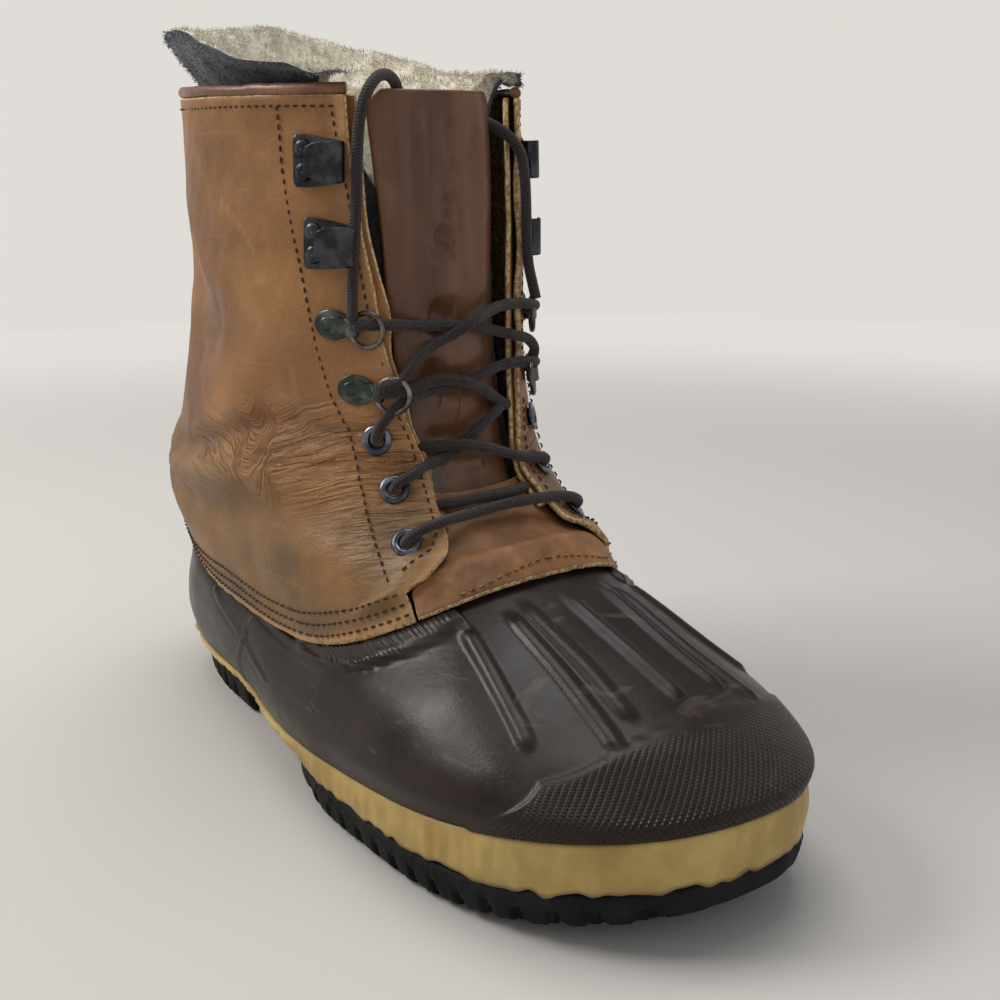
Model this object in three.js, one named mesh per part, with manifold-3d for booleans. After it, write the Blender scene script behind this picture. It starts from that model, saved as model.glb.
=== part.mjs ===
// A felt-lined pac boot for the right foot: rubber bottom, laced leather shaft, felt liner.
// Units are millimetres. +X points to the toe, +Y to the wearer's left (the inner side), +Z up.
// While it is modelled, X = 0 is the back of the heel and Z = 0 the floor.

import * as THREE from 'three';
import { mergeVertices } from 'three/addons/utils/BufferGeometryUtils.js';
import Module from 'manifold-3d';

const wasm = await Module();
wasm.setup();

// Driving sizes of the last
const LENGTH = 330; // sole, heel to toe
const BALL_LATERAL = 68; // from the centre line to the outer side at the ball
const BALL_MEDIAL = 62; // from the centre line to the inner side at the ball
const BALL_SKEW = 12; // how much further forward the inner ball is
const WAIST_LATERAL = 9; // how far the outer side draws in at the waist
const WAIST_MEDIAL = 15; // how far the inner side draws in at the waist
const WAIST_REACH = 48; // half-length of that waist
const INNER_TAPER = 0.76; // how much rounder the inner side runs to the toe than the outer side
const TOE_SWING = 8.5; // sideways shift of the toe towards the inner side
const COLLAR_X = 107.4; // centre of the collar
const COLLAR_LENGTH = 150;
const COLLAR_WIDTH = 110;
const COLLAR_BACK_HEIGHT = 256;
const COLLAR_SIDE_HEIGHT = 253;
const COLLAR_FRONT_HEIGHT = 251;
const RIM_BACK_HEIGHT = 77; // where leather meets rubber
const RIM_SIDE_HEIGHT = 58;
const RIM_FRONT_HEIGHT = 88.5;
const BAND_BACK_HEIGHT = 27; // top of the pale band round the sole
const BAND_SIDE_HEIGHT = 22;
const BAND_TOE_HEIGHT = 41;

// Sign of Y and name of the two sides
const SIDES = [[-1, 'outer'], [1, 'inner']];

// Walls, clearances and layers
const GAP = 0.3;
const RUBBER_WALL = 3;
const LEATHER_WALL = 2.2;
const FELT_WALL = 7;
const CURVE_PLAY = 1; // extra room where curved pieces lie over each other
const BAND_WALL = 4;
const BAND_FLOOR = 3;
const BAND_PROUD = 0.8;
const INSOLE_THICKNESS = 5;

// Sole
const BAND_THICK_HEEL = 4.5; // height of the pale band, at the heel, waist and toe
const BAND_THICK_WAIST = 7;
const BAND_THICK_TOE = 17;
const TOE_SPRING = 14;
const SPRING_START = 236;
const HEEL_BREAST = 86; // front end of the heel block
const FOREPART_START = 160;
const HEEL_RAMP = 4; // length of the slope from the heel block up to the arch
const ARCH_RAMP = 8; // length of the slope from the arch down to the forepart
const FOREPART_RAMP = 30; // length over which the forepart widens to the band
const ARCH_HEIGHT = 9;
const ARCH_INSET = 14; // how far the thin arch hides under the band
const HEEL_INSET = 5;
const BAND_UNDERCUT = 4; // how far the band's lower edge draws in behind the ball
const UNDERCUT_FADE = HEEL_BREAST + 40; // where that undercut starts to fade, and where it is gone
const UNDERCUT_END = HEEL_BREAST + 110;
const LUG_PITCH = 10.5;
const LUG_GROOVE = 3.4;
const LUG_DEPTH = 4;
const TREAD_BEVEL = 2;

// Rows of the last from the sole up. front, back: how far each end has drawn in from the sole's end to the
// collar's. slim: from the ball's half width to the collar's. wide: place of the widest point along the ring.
// bluntFront, bluntBack: 2 is an ellipse, more is squarer. riseBack, riseSide, riseFront: 0 is the pale band,
// 1 the rubber's rim, 2 the collar. low: place of the ring's lowest point. curve: how late it climbs to the front.
const LAST_COLUMNS = ['front', 'back', 'slim', 'wide', 'waist', 'swing', 'bluntFront', 'bluntBack',
  'riseBack', 'riseSide', 'riseFront', 'low', 'curve'];
const LAST_ROWS = [
  [0.000, 0.00, 0.00, 0.680, 1.00, 1.00, 2.5, 2.6, 0.000, 0.000, 0.000, 0.33, 2.0], // 0 band top
  [-0.003, -0.06, -0.25, 0.680, 0.80, 1.00, 2.5, 2.6, 0.220, 0.320, 0.105, 0.35, 2.0], // 1 bulge
  [0.042, -0.03, -0.21, 0.680, 0.65, 1.00, 2.5, 2.6, 0.460, 0.570, 0.200, 0.36, 2.0], // 2 side
  [0.155, 0.03, 0.00, 0.685, 0.50, 0.80, 2.5, 2.6, 0.660, 0.730, 0.380, 0.40, 2.0], // 3 toe top
  [0.365, 0.06, 0.29, 0.690, 0.45, 0.50, 2.5, 2.6, 0.820, 0.865, 0.640, 0.42, 2.2], // 4 vamp
  [0.684, 0.09, 0.83, 0.740, 0.25, 0.30, 2.6, 2.6, 1.000, 1.000, 1.000, 0.45, 3.5], // 5 rubber rim
  [0.786, -0.19, 0.79, 0.640, 0.10, 0.10, 2.5, 2.8, 1.175, 1.133, 1.071, 0.45, 2.5], // 6 ankle bulge
  [0.881, 0.06, 0.92, 0.585, 0.00, 0.00, 2.4, 2.4, 1.285, 1.246, 1.132, 0.50, 2.0], // 7 instep
  [0.942, 0.31, 1.08, 0.540, 0.00, 0.00, 2.3, 2.2, 1.390, 1.370, 1.200, 0.50, 2.0], // 8 front bend
  [0.976, 0.56, 1.21, 0.520, 0.00, 0.00, 2.1, 2.0, 1.530, 1.533, 1.409, 0.50, 2.0], // 9 shaft
  [0.982, 0.80, 1.12, 0.510, 0.00, 0.00, 2.0, 2.0, 1.754, 1.770, 1.717, 0.50, 2.0], // 10 shaft top
  [1.000, 1.00, 1.00, 0.500, 0.00, 0.00, 2.0, 2.0, 2.000, 2.000, 2.000, 0.50, 2.0], // 11 collar
  [0.960, 0.72, 0.45, 0.490, 0.00, 0.00, 2.0, 2.0, 2.150, 2.040, 2.000, 0.60, 2.0], // 12 liner rim
];
const LINER_LEVEL = 12;

const mix = (a, b, t) => a + (b - a) * t;
const clamp = (value, low, high) => Math.min(high, Math.max(low, value));
const smooth = (low, high, value) => {
  const t = clamp((value - low) / (high - low), 0, 1);
  return t * t * (3 - 2 * t);
};

// One row of the last at any level, through the rows above on a smooth curve
function rowAt(level) {
  const last = LAST_ROWS.length - 1;
  const i = clamp(Math.floor(level), 0, last - 1);
  const t = level - i;
  const row = {};
  LAST_COLUMNS.forEach((name, k) => {
    const at = (n) => LAST_ROWS[clamp(n, 0, last)][k];
    const [p0, p1, p2, p3] = [at(i - 1), at(i), at(i + 1), at(i + 2)];
    const a = (p2 - p0) / 2;
    const b = (p3 - p1) / 2;
    row[name] = p1 + t * (a + t * (3 * (p2 - p1) - 2 * a - b + t * (2 * (p1 - p2) + a + b)));
  });
  return row;
}

// Height for a rise of 0 at the band, 1 at the rim and 2 at the collar
const height = (rise, band, rim, collar) => (rise < 1 ? mix(band, rim, rise) : mix(rim, collar, rise - 1));

// A point of the last: turn is 0 at the heel, 0.25 on the outer side, 0.5 at the toe, 0.75 on the inner side
function lastPoint(level, turn) {
  const row = rowAt(level);
  const angle = turn * 2 * Math.PI;
  const c = Math.cos(angle);
  const s = Math.sin(angle);
  const lateral = s >= 0;
  const backX = (COLLAR_X - COLLAR_LENGTH / 2) * row.back;
  const frontX = mix(LENGTH, COLLAR_X + COLLAR_LENGTH / 2, row.front);
  const wideX = mix(backX, frontX, row.wide) + (lateral ? 0 : BALL_SKEW * row.waist);
  const taper = lateral ? 1 : mix(1, INNER_TAPER, row.waist);
  const blunt = c > 0 ? row.bluntBack : row.bluntFront * taper;
  const run = Math.abs(c) ** (2 / blunt);
  const x = c > 0 ? wideX - (wideX - backX) * run : wideX + (frontX - wideX) * run;
  const foot = lateral ? BALL_LATERAL : BALL_MEDIAL;
  const waist = (lateral ? WAIST_LATERAL : WAIST_MEDIAL) * row.waist;
  const waistX = LENGTH * (lateral ? 0.29 : 0.4);
  const half = mix(foot, COLLAR_WIDTH / 2, row.slim) - waist * Math.exp(-(((x - waistX) / WAIST_REACH) ** 2));
  const swing = TOE_SWING * row.swing * clamp((x - wideX) / (frontX - wideX), 0, 1) ** 2;
  const y = (lateral ? -1 : 1) * half * Math.abs(s) ** (2 / blunt) + swing;
  const share = clamp((x - backX) / (frontX - backX), 0, 1);
  const back = height(row.riseBack, BAND_BACK_HEIGHT, RIM_BACK_HEIGHT, COLLAR_BACK_HEIGHT);
  const side = height(row.riseSide, BAND_SIDE_HEIGHT, RIM_SIDE_HEIGHT, COLLAR_SIDE_HEIGHT);
  const front = height(row.riseFront, BAND_TOE_HEIGHT, RIM_FRONT_HEIGHT, COLLAR_FRONT_HEIGHT);
  const z = share < row.low
    ? mix(side, back, (1 - share / row.low) ** 2)
    : mix(side, front, ((share - row.low) / (1 - row.low)) ** row.curve);
  return new THREE.Vector3(x, y, z);
}

// Outward normal of the last
function lastNormal(level, turn) {
  const step = 0.004;
  const along = lastPoint(level, turn + step).sub(lastPoint(level, turn - step));
  const up = lastPoint(Math.min(level + 0.05, LINER_LEVEL), turn).sub(lastPoint(Math.max(level - 0.05, 0), turn));
  return along.cross(up).normalize();
}

// A point a given distance outside the last
const skinPoint = (level, turn, out) => lastPoint(level, turn).addScaledVector(lastNormal(level, turn), out);

// Closed mesh from a list of vertices and triangles, with its faces turned outwards
function solidMesh(points, triangles) {
  const flat = new Float32Array(points.flatMap((p) => [p.x, p.y, p.z]));
  let geometry = new THREE.BufferGeometry();
  geometry.setAttribute('position', new THREE.BufferAttribute(flat, 3));
  geometry.setIndex(triangles.flat());
  geometry = mergeVertices(geometry, 1e-4);
  return toManifold(geometry);
}

function toManifold(source) {
  let geometry = source.clone();
  geometry.deleteAttribute('normal');
  geometry.deleteAttribute('uv');
  geometry = mergeVertices(geometry, 1e-4);
  const position = geometry.attributes.position.array;
  const index = Array.from(geometry.index.array);
  const kept = [];
  for (let i = 0; i < index.length; i += 3) {
    const [a, b, c] = [index[i], index[i + 1], index[i + 2]];
    if (a !== b && b !== c && a !== c) kept.push([a, b, c]);
  }
  const corner = (n) => new THREE.Vector3().fromArray(position, 3 * n);
  const volume = kept.reduce((sum, [a, b, c]) => sum + corner(a).dot(corner(b).cross(corner(c))), 0);
  const faces = volume < 0 ? kept.map(([a, b, c]) => [a, c, b]) : kept;
  return new wasm.Manifold(new wasm.Mesh({
    numProp: 3,
    vertProperties: Float32Array.from(position),
    triVerts: Uint32Array.from(faces.flat()),
  }));
}

function fromManifold(manifold) {
  const mesh = manifold.getMesh();
  const geometry = new THREE.BufferGeometry();
  geometry.setAttribute('position', new THREE.BufferAttribute(Float32Array.from(mesh.vertProperties), 3));
  geometry.setIndex(Array.from(mesh.triVerts));
  return geometry;
}

// Wall between an outer and an inner grid of points, both [row][column]; round when its columns close up
function wall(outer, inner, round) {
  const rows = outer.length;
  const columns = outer[0].length;
  const points = [...outer.flat(), ...inner.flat()];
  const shift = rows * columns;
  const triangles = [];
  const quad = (a, b, c, d) => triangles.push([a, b, c], [a, c, d]);
  const at = (r, c) => r * columns + (c % columns);
  const spans = round ? columns : columns - 1;
  for (let c = 0; c < spans; c += 1) {
    for (let r = 0; r < rows - 1; r += 1) {
      quad(at(r, c), at(r, c + 1), at(r + 1, c + 1), at(r + 1, c));
      quad(shift + at(r, c), shift + at(r + 1, c), shift + at(r + 1, c + 1), shift + at(r, c + 1));
    }
    quad(at(0, c + 1), at(0, c), shift + at(0, c), shift + at(0, c + 1));
    quad(at(rows - 1, c), at(rows - 1, c + 1), shift + at(rows - 1, c + 1), shift + at(rows - 1, c));
  }
  if (!round) {
    for (let r = 0; r < rows - 1; r += 1) {
      quad(at(r, 0), at(r + 1, 0), shift + at(r + 1, 0), shift + at(r, 0));
      quad(at(r + 1, spans), at(r, spans), shift + at(r, spans), shift + at(r + 1, spans));
    }
  }
  return solidMesh(points, triangles);
}

// Solid slab from rings of the sole, bottom ring first. Each ring lists the outer side from heel to toe and
// then the inner side back again, so its two caps are ladders across the sole.
function slab(rings) {
  const count = rings[0].length;
  const points = rings.flat();
  const triangles = [];
  rings.slice(1).forEach((unused, r) => {
    for (let c = 0; c < count; c += 1) {
      const next = (c + 1) % count;
      triangles.push([r * count + c, r * count + next, (r + 1) * count + next]);
      triangles.push([r * count + c, (r + 1) * count + next, (r + 1) * count + c]);
    }
  });
  const half = count / 2;
  const top = (rings.length - 1) * count;
  for (let c = 0; c < half; c += 1) {
    const [a, b] = [c, c + 1];
    const [d, e] = [(count - c) % count, count - c - 1];
    triangles.push([a, e, b], [top + a, top + b, top + e]);
    triangles.push([a, d, e], [top + a, top + e, top + d]);
  }
  return solidMesh(points, triangles);
}

// Heights along the sole
const soleShare = (x) => clamp(x / LENGTH, 0, 1);
const bandTop = (x) => {
  const share = soleShare(x);
  const low = LAST_ROWS[0][LAST_COLUMNS.indexOf('low')];
  const curve = LAST_ROWS[0][LAST_COLUMNS.indexOf('curve')];
  return share < low
    ? mix(BAND_SIDE_HEIGHT, BAND_BACK_HEIGHT, (1 - share / low) ** 2)
    : mix(BAND_SIDE_HEIGHT, BAND_TOE_HEIGHT, ((share - low) / (1 - low)) ** curve);
};
const bandThick = (x) => {
  const share = soleShare(x);
  return share < 0.5
    ? mix(BAND_THICK_HEEL, BAND_THICK_WAIST, smooth(0, 0.5, share))
    : mix(BAND_THICK_WAIST, BAND_THICK_TOE, smooth(0.4, 0.9, share));
};
const bandLow = (x) => bandTop(x) - bandThick(x);
const floorTop = (x) => bandLow(x) + BAND_FLOOR;
const insoleTop = (x) => floorTop(x) + GAP + INSOLE_THICKNESS;
const treadLow = (x) => {
  const spring = TOE_SPRING * clamp((x - SPRING_START) / (LENGTH - SPRING_START), 0, 1) ** 2;
  return ARCH_HEIGHT * archShare(x) + spring;
};

// Stations along the sole, closer at its round ends and at the steps of heel and forepart
const STEP_STATIONS = [
  HEEL_BREAST, HEEL_BREAST + HEEL_RAMP, FOREPART_START - ARCH_RAMP, FOREPART_START, SPRING_START,
];
const END_SHARES = [0.0035, 0.975, 0.9965]; // extra stations where the outline turns fastest
function soleStations(count) {
  const even = Array.from({ length: count + 1 }, (unused, n) => (LENGTH * (1 - Math.cos((Math.PI * n) / count))) / 2);
  const clear = even.filter((x) => STEP_STATIONS.every((step) => Math.abs(step - x) > 6));
  return [...clear, ...STEP_STATIONS, ...END_SHARES.map((share) => LENGTH * share)].sort((a, b) => a - b);
}

// Turn of the sole's outline at a station, by halving
function soleTurn(x, side) {
  let low = 0;
  let high = 0.5;
  for (let n = 0; n < 40; n += 1) {
    const middle = (low + high) / 2;
    if (lastPoint(0, side < 0 ? middle : 1 - middle).x < x) low = middle;
    else high = middle;
  }
  return side < 0 ? (low + high) / 2 : 1 - (low + high) / 2;
}

// Turns round the boot that every ring uses, so that neighbouring rings share their corners
const STATION_COUNT = 12;
const stations = soleStations(STATION_COUNT);
const roundTurns = [
  ...stations.map((x) => soleTurn(x, -1)),
  ...stations.slice(1, -1).reverse().map((x) => soleTurn(x, 1)),
];

// Ring of the sole's outline, moved in by inset(x) along its own plan normal, at height z(x)
const soleRing = (inset, z) => roundTurns.map((turn) => planInset(turn, inset, z));

function planInset(turn, inset, z) {
  const step = 0.003;
  const p = lastPoint(0, turn);
  const along = lastPoint(0, turn + step).sub(lastPoint(0, turn - step));
  const normal = new THREE.Vector3(along.y, -along.x, 0).normalize();
  const moved = p.addScaledVector(normal, -inset(p.x));
  return new THREE.Vector3(moved.x, moved.y, z(moved.x));
}

const group = new THREE.Group();
const materials = {
  black_rubber: new THREE.MeshStandardMaterial({ color: 0x23262c, roughness: 0.75, metalness: 0 }),
  cream_rubber: new THREE.MeshStandardMaterial({ color: 0xbfa468, roughness: 0.6, metalness: 0 }),
  brown_rubber: new THREE.MeshStandardMaterial({ color: 0x3b2e2a, roughness: 0.45, metalness: 0 }),
  tan_leather: new THREE.MeshStandardMaterial({ color: 0x9a6a45, roughness: 0.6, metalness: 0 }),
  brown_leather: new THREE.MeshStandardMaterial({ color: 0x5c3d2a, roughness: 0.5, metalness: 0 }),
  felt: new THREE.MeshStandardMaterial({ color: 0x22232e, roughness: 0.95, metalness: 0 }),
  insole_felt: new THREE.MeshStandardMaterial({ color: 0xc4bda9, roughness: 0.95, metalness: 0 }),
  gunmetal: new THREE.MeshStandardMaterial({ color: 0x2d2f33, roughness: 0.35, metalness: 0.9 }),
  lace: new THREE.MeshStandardMaterial({ color: 0x2e2024, roughness: 0.85, metalness: 0 }),
};

function addPiece(name, manifold, material) {
  const mesh = new THREE.Mesh(fromManifold(manifold), materials[material]);
  mesh.name = name;
  group.add(mesh);
  return mesh;
}

// Outsole: heel block, arch and forepart with toe spring, cut across by grooves
const foreShare = (x) => smooth(FOREPART_START - ARCH_RAMP, FOREPART_START + FOREPART_RAMP, x);
const archShare = (x) =>
  smooth(HEEL_BREAST, HEEL_BREAST + HEEL_RAMP, x) * (1 - smooth(FOREPART_START - ARCH_RAMP, FOREPART_START, x));
function makeOutsole() {
  const side = (x) => ARCH_INSET * archShare(x) + HEEL_INSET * (1 - foreShare(x)) * (1 - archShare(x));
  const top = (x) => bandLow(x) - GAP;
  let solid = slab([
    soleRing((x) => side(x) + 2 * TREAD_BEVEL, treadLow),
    soleRing((x) => side(x) + TREAD_BEVEL, (x) => treadLow(x) + TREAD_BEVEL),
    soleRing((x) => side(x) - BAND_PROUD * foreShare(x), (x) => mix(treadLow(x), top(x), 0.7)),
    soleRing(side, top),
  ]);
  const reach = BALL_LATERAL + BALL_MEDIAL;
  const cut = (x) => {
    const groove = new THREE.BoxGeometry(LUG_GROOVE, 2 * reach, 2 * LUG_DEPTH);
    groove.translate(x, 0, treadLow(x));
    solid = solid.subtract(toManifold(groove));
  };
  for (let x = LUG_PITCH; x < HEEL_BREAST - LUG_GROOVE; x += LUG_PITCH) cut(x);
  for (let x = FOREPART_START + LUG_PITCH; x < LENGTH - LUG_GROOVE; x += LUG_PITCH) cut(x);
  return solid;
}

// Pale band: a cup whose wall shows round the sole and whose floor carries the insole
function makeBand() {
  const undercut = (x) => BAND_UNDERCUT * (1 - smooth(UNDERCUT_FADE, UNDERCUT_END, x)) - BAND_PROUD;
  const block = slab([
    soleRing(undercut, bandLow),
    soleRing(() => -BAND_PROUD, bandTop),
  ]);
  const room = slab([
    soleRing(() => BAND_WALL, floorTop),
    soleRing(() => BAND_WALL, (x) => bandTop(x) + BAND_WALL),
  ]);
  return block.subtract(room);
}

function makeInsole() {
  const inset = () => BAND_WALL + 2 * GAP + RUBBER_WALL;
  return slab([
    soleRing(inset, (x) => floorTop(x) + GAP),
    soleRing(inset, insoleTop),
  ]);
}

// Rubber bottom of the upper: stands in the band's cup, steps out over it and ends under the leather
const SHELL_TOP_LEVEL = 5.35;
function makeShell() {
  const foot = BAND_WALL + GAP;
  const levels = [0.5, 1.1, 1.8, 2.6, 3.4, 4.2, 5, SHELL_TOP_LEVEL];
  const outer = [
    roundTurns.map((turn) => planInset(turn, () => foot, (x) => floorTop(x) + GAP)),
    roundTurns.map((turn) => planInset(turn, () => foot, (x) => bandTop(x) + GAP)),
    roundTurns.map((turn) => planInset(turn, () => 0, (x) => bandTop(x) + GAP)),
    ...levels.map((level) => roundTurns.map((turn) => skinPoint(level, turn, 0))),
  ];
  const inner = [
    roundTurns.map((turn) => planInset(turn, () => foot + RUBBER_WALL, (x) => floorTop(x) + GAP)),
    roundTurns.map((turn) => planInset(turn, () => foot + RUBBER_WALL, (x) => bandTop(x))),
    roundTurns.map((turn) => planInset(turn, () => foot + RUBBER_WALL, (x) => bandTop(x) + GAP)),
    ...levels.map((level) => roundTurns.map((turn) => {
      const extra = foot * (1 - smooth(0.3, 1.2, level));
      return skinPoint(level, turn, -RUBBER_WALL - extra);
    })),
  ];
  const patches = [
    patch(TOE_CAP, TOE_CAP_PROUD),
    ...SIDES.map(([side]) => patch(RIM_STRIP, RIM_STRIP_PROUD, side, RIM_STRIP_STEP)),
    ...VAMP_RIBS.map((rows) => patch(rows, RIB_PROUD)),
  ];
  return patches.reduce((sum, piece) => sum.add(piece), wall(outer, inner, true));
}

// Raised parts of the rubber: rows of level, first turn and last turn, bedded in the wall
const TOE_CAP_PROUD = 0.9;
const RIM_STRIP_PROUD = 1.6;
const RIM_STRIP_STEP = 0.02; // turns between the columns of a patch
const RELIEF_STEP = 0.034;
const RIB_PROUD = 1.1;
const RELIEF_BED = 2.7;
const TOE_CAP = [
  [0.30, 0.313, 0.687], [1.15, 0.333, 0.667], [1.95, 0.353, 0.647], [2.55, 0.371, 0.629],
  [3.05, 0.425, 0.575], [3.30, 0.475, 0.525],
];
const RIM_STRIP = [[4.50, 0.244, 0.300], [4.76, 0.240, 0.4105]];
const VAMP_RIBS = [
  [[4.64, 0.400, 0.407], [4.10, 0.389, 0.396], [3.30, 0.376, 0.382]],
  [[4.62, 0.444, 0.451], [4.05, 0.440, 0.447], [3.15, 0.431, 0.437]],
  [[4.68, 0.461, 0.468], [4.10, 0.461, 0.467], [3.55, 0.457, 0.462]],
  [[4.68, 0.539, 0.532], [4.10, 0.539, 0.533], [3.55, 0.543, 0.538]],
  [[4.62, 0.556, 0.549], [4.05, 0.560, 0.553], [3.15, 0.569, 0.563]],
  [[4.64, 0.600, 0.593], [4.10, 0.611, 0.604], [3.30, 0.624, 0.618]],
  [[4.68, 0.4960, 0.5030], [4.10, 0.4960, 0.5030], [3.60, 0.4965, 0.5025]],
];
function patch(rows, proud, side = -1, step = RELIEF_STEP) {
  const columns = Math.max(1, Math.round(Math.abs(rows[0][2] - rows[0][1]) / step));
  const grid = (out) => rows.map(([level, start, end]) => Array.from({ length: columns + 1 }, (unused, n) => {
    const turn = mix(start, end, n / columns);
    return skinPoint(level, side < 0 ? turn : 1 - turn, out);
  }));
  return wall(grid(proud), grid(-RELIEF_BED), false);
}

addPiece('outsole', makeOutsole(), 'black_rubber');
addPiece('foxing', makeBand(), 'cream_rubber');
addPiece('insole', makeInsole(), 'insole_felt');
addPiece('rubber_shell', makeShell(), 'brown_rubber');

// The leather shaft's front edge on the outer side: its turn at each level. The inner side mirrors it.
const THROAT = [
  [5.00, 0.372], [5.30, 0.378], [5.38, 0.405], [5.65, 0.428], [6.20, 0.441], [6.80, 0.446], [7.80, 0.449],
  [8.15, 0.446], [8.60, 0.431], [9.00, 0.420], [9.30, 0.412], [9.60, 0.407], [9.90, 0.399], [10.35, 0.393],
  [11.00, 0.3935],
];
function tableAt(table, level) {
  const found = table.findIndex((row) => row[0] >= level);
  const i = clamp(found < 0 ? table.length - 1 : found, 1, table.length - 1);
  const [a, b] = [table[i - 1], table[i]];
  return mix(a[1], b[1], clamp((level - a[0]) / (b[0] - a[0]), 0, 1));
}
const throatTurn = (level) => tableAt(THROAT, level);

// Leather lies this far outside the last, and higher where its lower front corners lap over the vamp
const LEATHER_IN = GAP + CURVE_PLAY;
const LAP_END_LEVEL = 6.2;
function leatherLap(level, turn) {
  const near = smooth(throatTurn(level) - 0.07, throatTurn(level) - 0.03, Math.min(turn, 1 - turn));
  return (LEATHER_WALL + GAP) * near * smooth(5.15, 5.34, level) * (1 - smooth(5.7, LAP_END_LEVEL, level));
}

// Turns of a strip from the outer front edge round the heel to the inner front edge, closer near the edges
const SHAFT_COLUMNS = 28;
function shaftTurns(level) {
  const edge = throatTurn(level);
  return Array.from({ length: SHAFT_COLUMNS + 1 }, (unused, n) => {
    const t = 1 - (2 * n) / SHAFT_COLUMNS;
    return edge * Math.sign(t) * (1 - (1 - Math.abs(t)) ** 1.15);
  });
}

const LEATHER_TOP_LEVEL = 10.93;
const wrap = (turn) => (turn < 0 ? turn + 1 : turn);
function makeShaft() {
  const levels = [5, 5.2, 5.34, 5.6, 6.3, 7, 7.8, 8.4, 9, 9.7, 10.4, LEATHER_TOP_LEVEL];
  const grid = (out) => levels.map((level) =>
    shaftTurns(level).map((turn) => skinPoint(level, turn, out + leatherLap(level, wrap(turn)))));
  let solid = wall(grid(LEATHER_IN + LEATHER_WALL), grid(LEATHER_IN), false);
  for (const frame of eyeletFrames) solid = solid.subtract(eyeletRoom(frame));
  return solid;
}

// Rolled binding along the collar: section points as [outside the last, above the leather]
const BINDING_THICKNESS = 3.6;
const BINDING_HEIGHT = 3.8;
function makeBinding() {
  const middle = LEATHER_IN + LEATHER_WALL / 2;
  const half = BINDING_THICKNESS / 2;
  const section = [[0.7, 0], [1, 0.5], [0.55, 1]];
  const grid = (side) => section.map(([wide, high]) => shaftTurns(LEATHER_TOP_LEVEL).map((turn) => {
    const point = skinPoint(LEATHER_TOP_LEVEL, turn, middle + side * half * wide);
    point.z += GAP + BINDING_HEIGHT * high;
    return point;
  }));
  return wall(grid(1), grid(-1), false);
}

// Vamp leather at the foot of the throat: over the rubber's rim below, under the shaft's front edges above
const VAMP_TOP_LEVEL = 7.6;
const VAMP_COLUMNS = 10;
function makeVamp() {
  const levels = [5, 5.2, 5.36, 5.7, 6.3, 7, VAMP_TOP_LEVEL];
  const grid = (out) => levels.map((level) => {
    const edge = throatTurn(level) + (level < 5.33 ? 0.006 : -0.032 * smooth(5.33, 5.7, level));
    const sink = (LEATHER_IN + LEATHER_WALL + 3 * GAP + FACING_WALL) * smooth(5.36, 6.3, level);
    return Array.from({ length: VAMP_COLUMNS + 1 }, (unused, n) =>
      skinPoint(level, mix(edge, 1 - edge, n / VAMP_COLUMNS), out - sink));
  });
  return wall(grid(LEATHER_IN + LEATHER_WALL), grid(LEATHER_IN), false);
}

// Strip of the last between two turns, for the tongue and the strips behind the throat's edges
function strip(rows, columns, out, thick) {
  const grid = (o) => rows.map(([level, start, end]) =>
    Array.from({ length: columns + 1 }, (unused, n) => skinPoint(level, mix(start, end, n / columns), o)));
  return wall(grid(out), grid(out - thick), false);
}

// Tongue: rises behind the vamp, between the facings and the liner
const TONGUE_WALL = 2;
const TONGUE_OUT = -6.2; // from the last to its outside
const TONGUE_OUTER = [[7.3, 0.452], [8.4, 0.432], [9.6, 0.418], [11, 0.412]]; // level and turn
const TONGUE_INNER = [[7.3, 0.548], [8.4, 0.560], [9.6, 0.568], [11, 0.583]];
function makeTongue() {
  const levels = [7.3, 7.8, 8.4, 9, 10, 11];
  const rows = levels.map((level) => [level, tableAt(TONGUE_OUTER, level), tableAt(TONGUE_INNER, level)]);
  return strip(rows, 6, TONGUE_OUT, TONGUE_WALL);
}

// Facing: the second layer behind each front edge of the shaft, standing a little past it
const FACING_WALL = 1.8;
const FACING_WIDTH = 0.045; // in turns
const FACING_PROUD = 0.005;
function makeFacing(side) {
  const levels = [6.65, 7, 7.8, 8.4, 9, 9.7, 10.4, LEATHER_TOP_LEVEL];
  const rows = levels.map((level) => {
    const edge = throatTurn(level);
    const span = [edge - FACING_WIDTH, edge + FACING_PROUD];
    return side < 0 ? [level, ...span] : [level, 1 - span[1], 1 - span[0]];
  });
  let solid = strip(rows, 3, LEATHER_IN - GAP - CURVE_PLAY, FACING_WALL);
  for (const frame of eyeletFrames) solid = solid.subtract(eyeletRoom(frame));
  return solid;
}

// Frame on the leather's outside: x towards the throat, z outwards
function surfaceFrame(level, turn, side) {
  const place = side < 0 ? turn : 1 - turn;
  const origin = skinPoint(level, place, LEATHER_IN + LEATHER_WALL + leatherLap(level, place));
  const z = lastNormal(level, place);
  const ahead = lastPoint(level, place - side * 0.01).sub(lastPoint(level, place));
  const x = ahead.addScaledVector(z, -ahead.dot(z)).normalize();
  const y = z.clone().cross(x);
  return new THREE.Matrix4().makeBasis(x, y, z).setPosition(origin);
}
const EYELET_PLACES = [[6.23, 0.4055], [7.54, 0.4145], [8.34, 0.4045]]; // level and turn, from the toe up
const EYELET_BORE = 2.5;
const EYELET_BARREL = 3.2;
const EYELET_FLANGE = 5.4;
const EYELET_HEIGHT = 1.2;
const CLIP_PLACES = [[8.82, 0.392], [9.33, 0.374]];
const HOOK_PLACES = [[9.88, 0.371], [10.43, 0.367]];
const eyeletFrames = SIDES.flatMap(([side]) => EYELET_PLACES.map(([l, t]) => surfaceFrame(l, t, side)));

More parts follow.
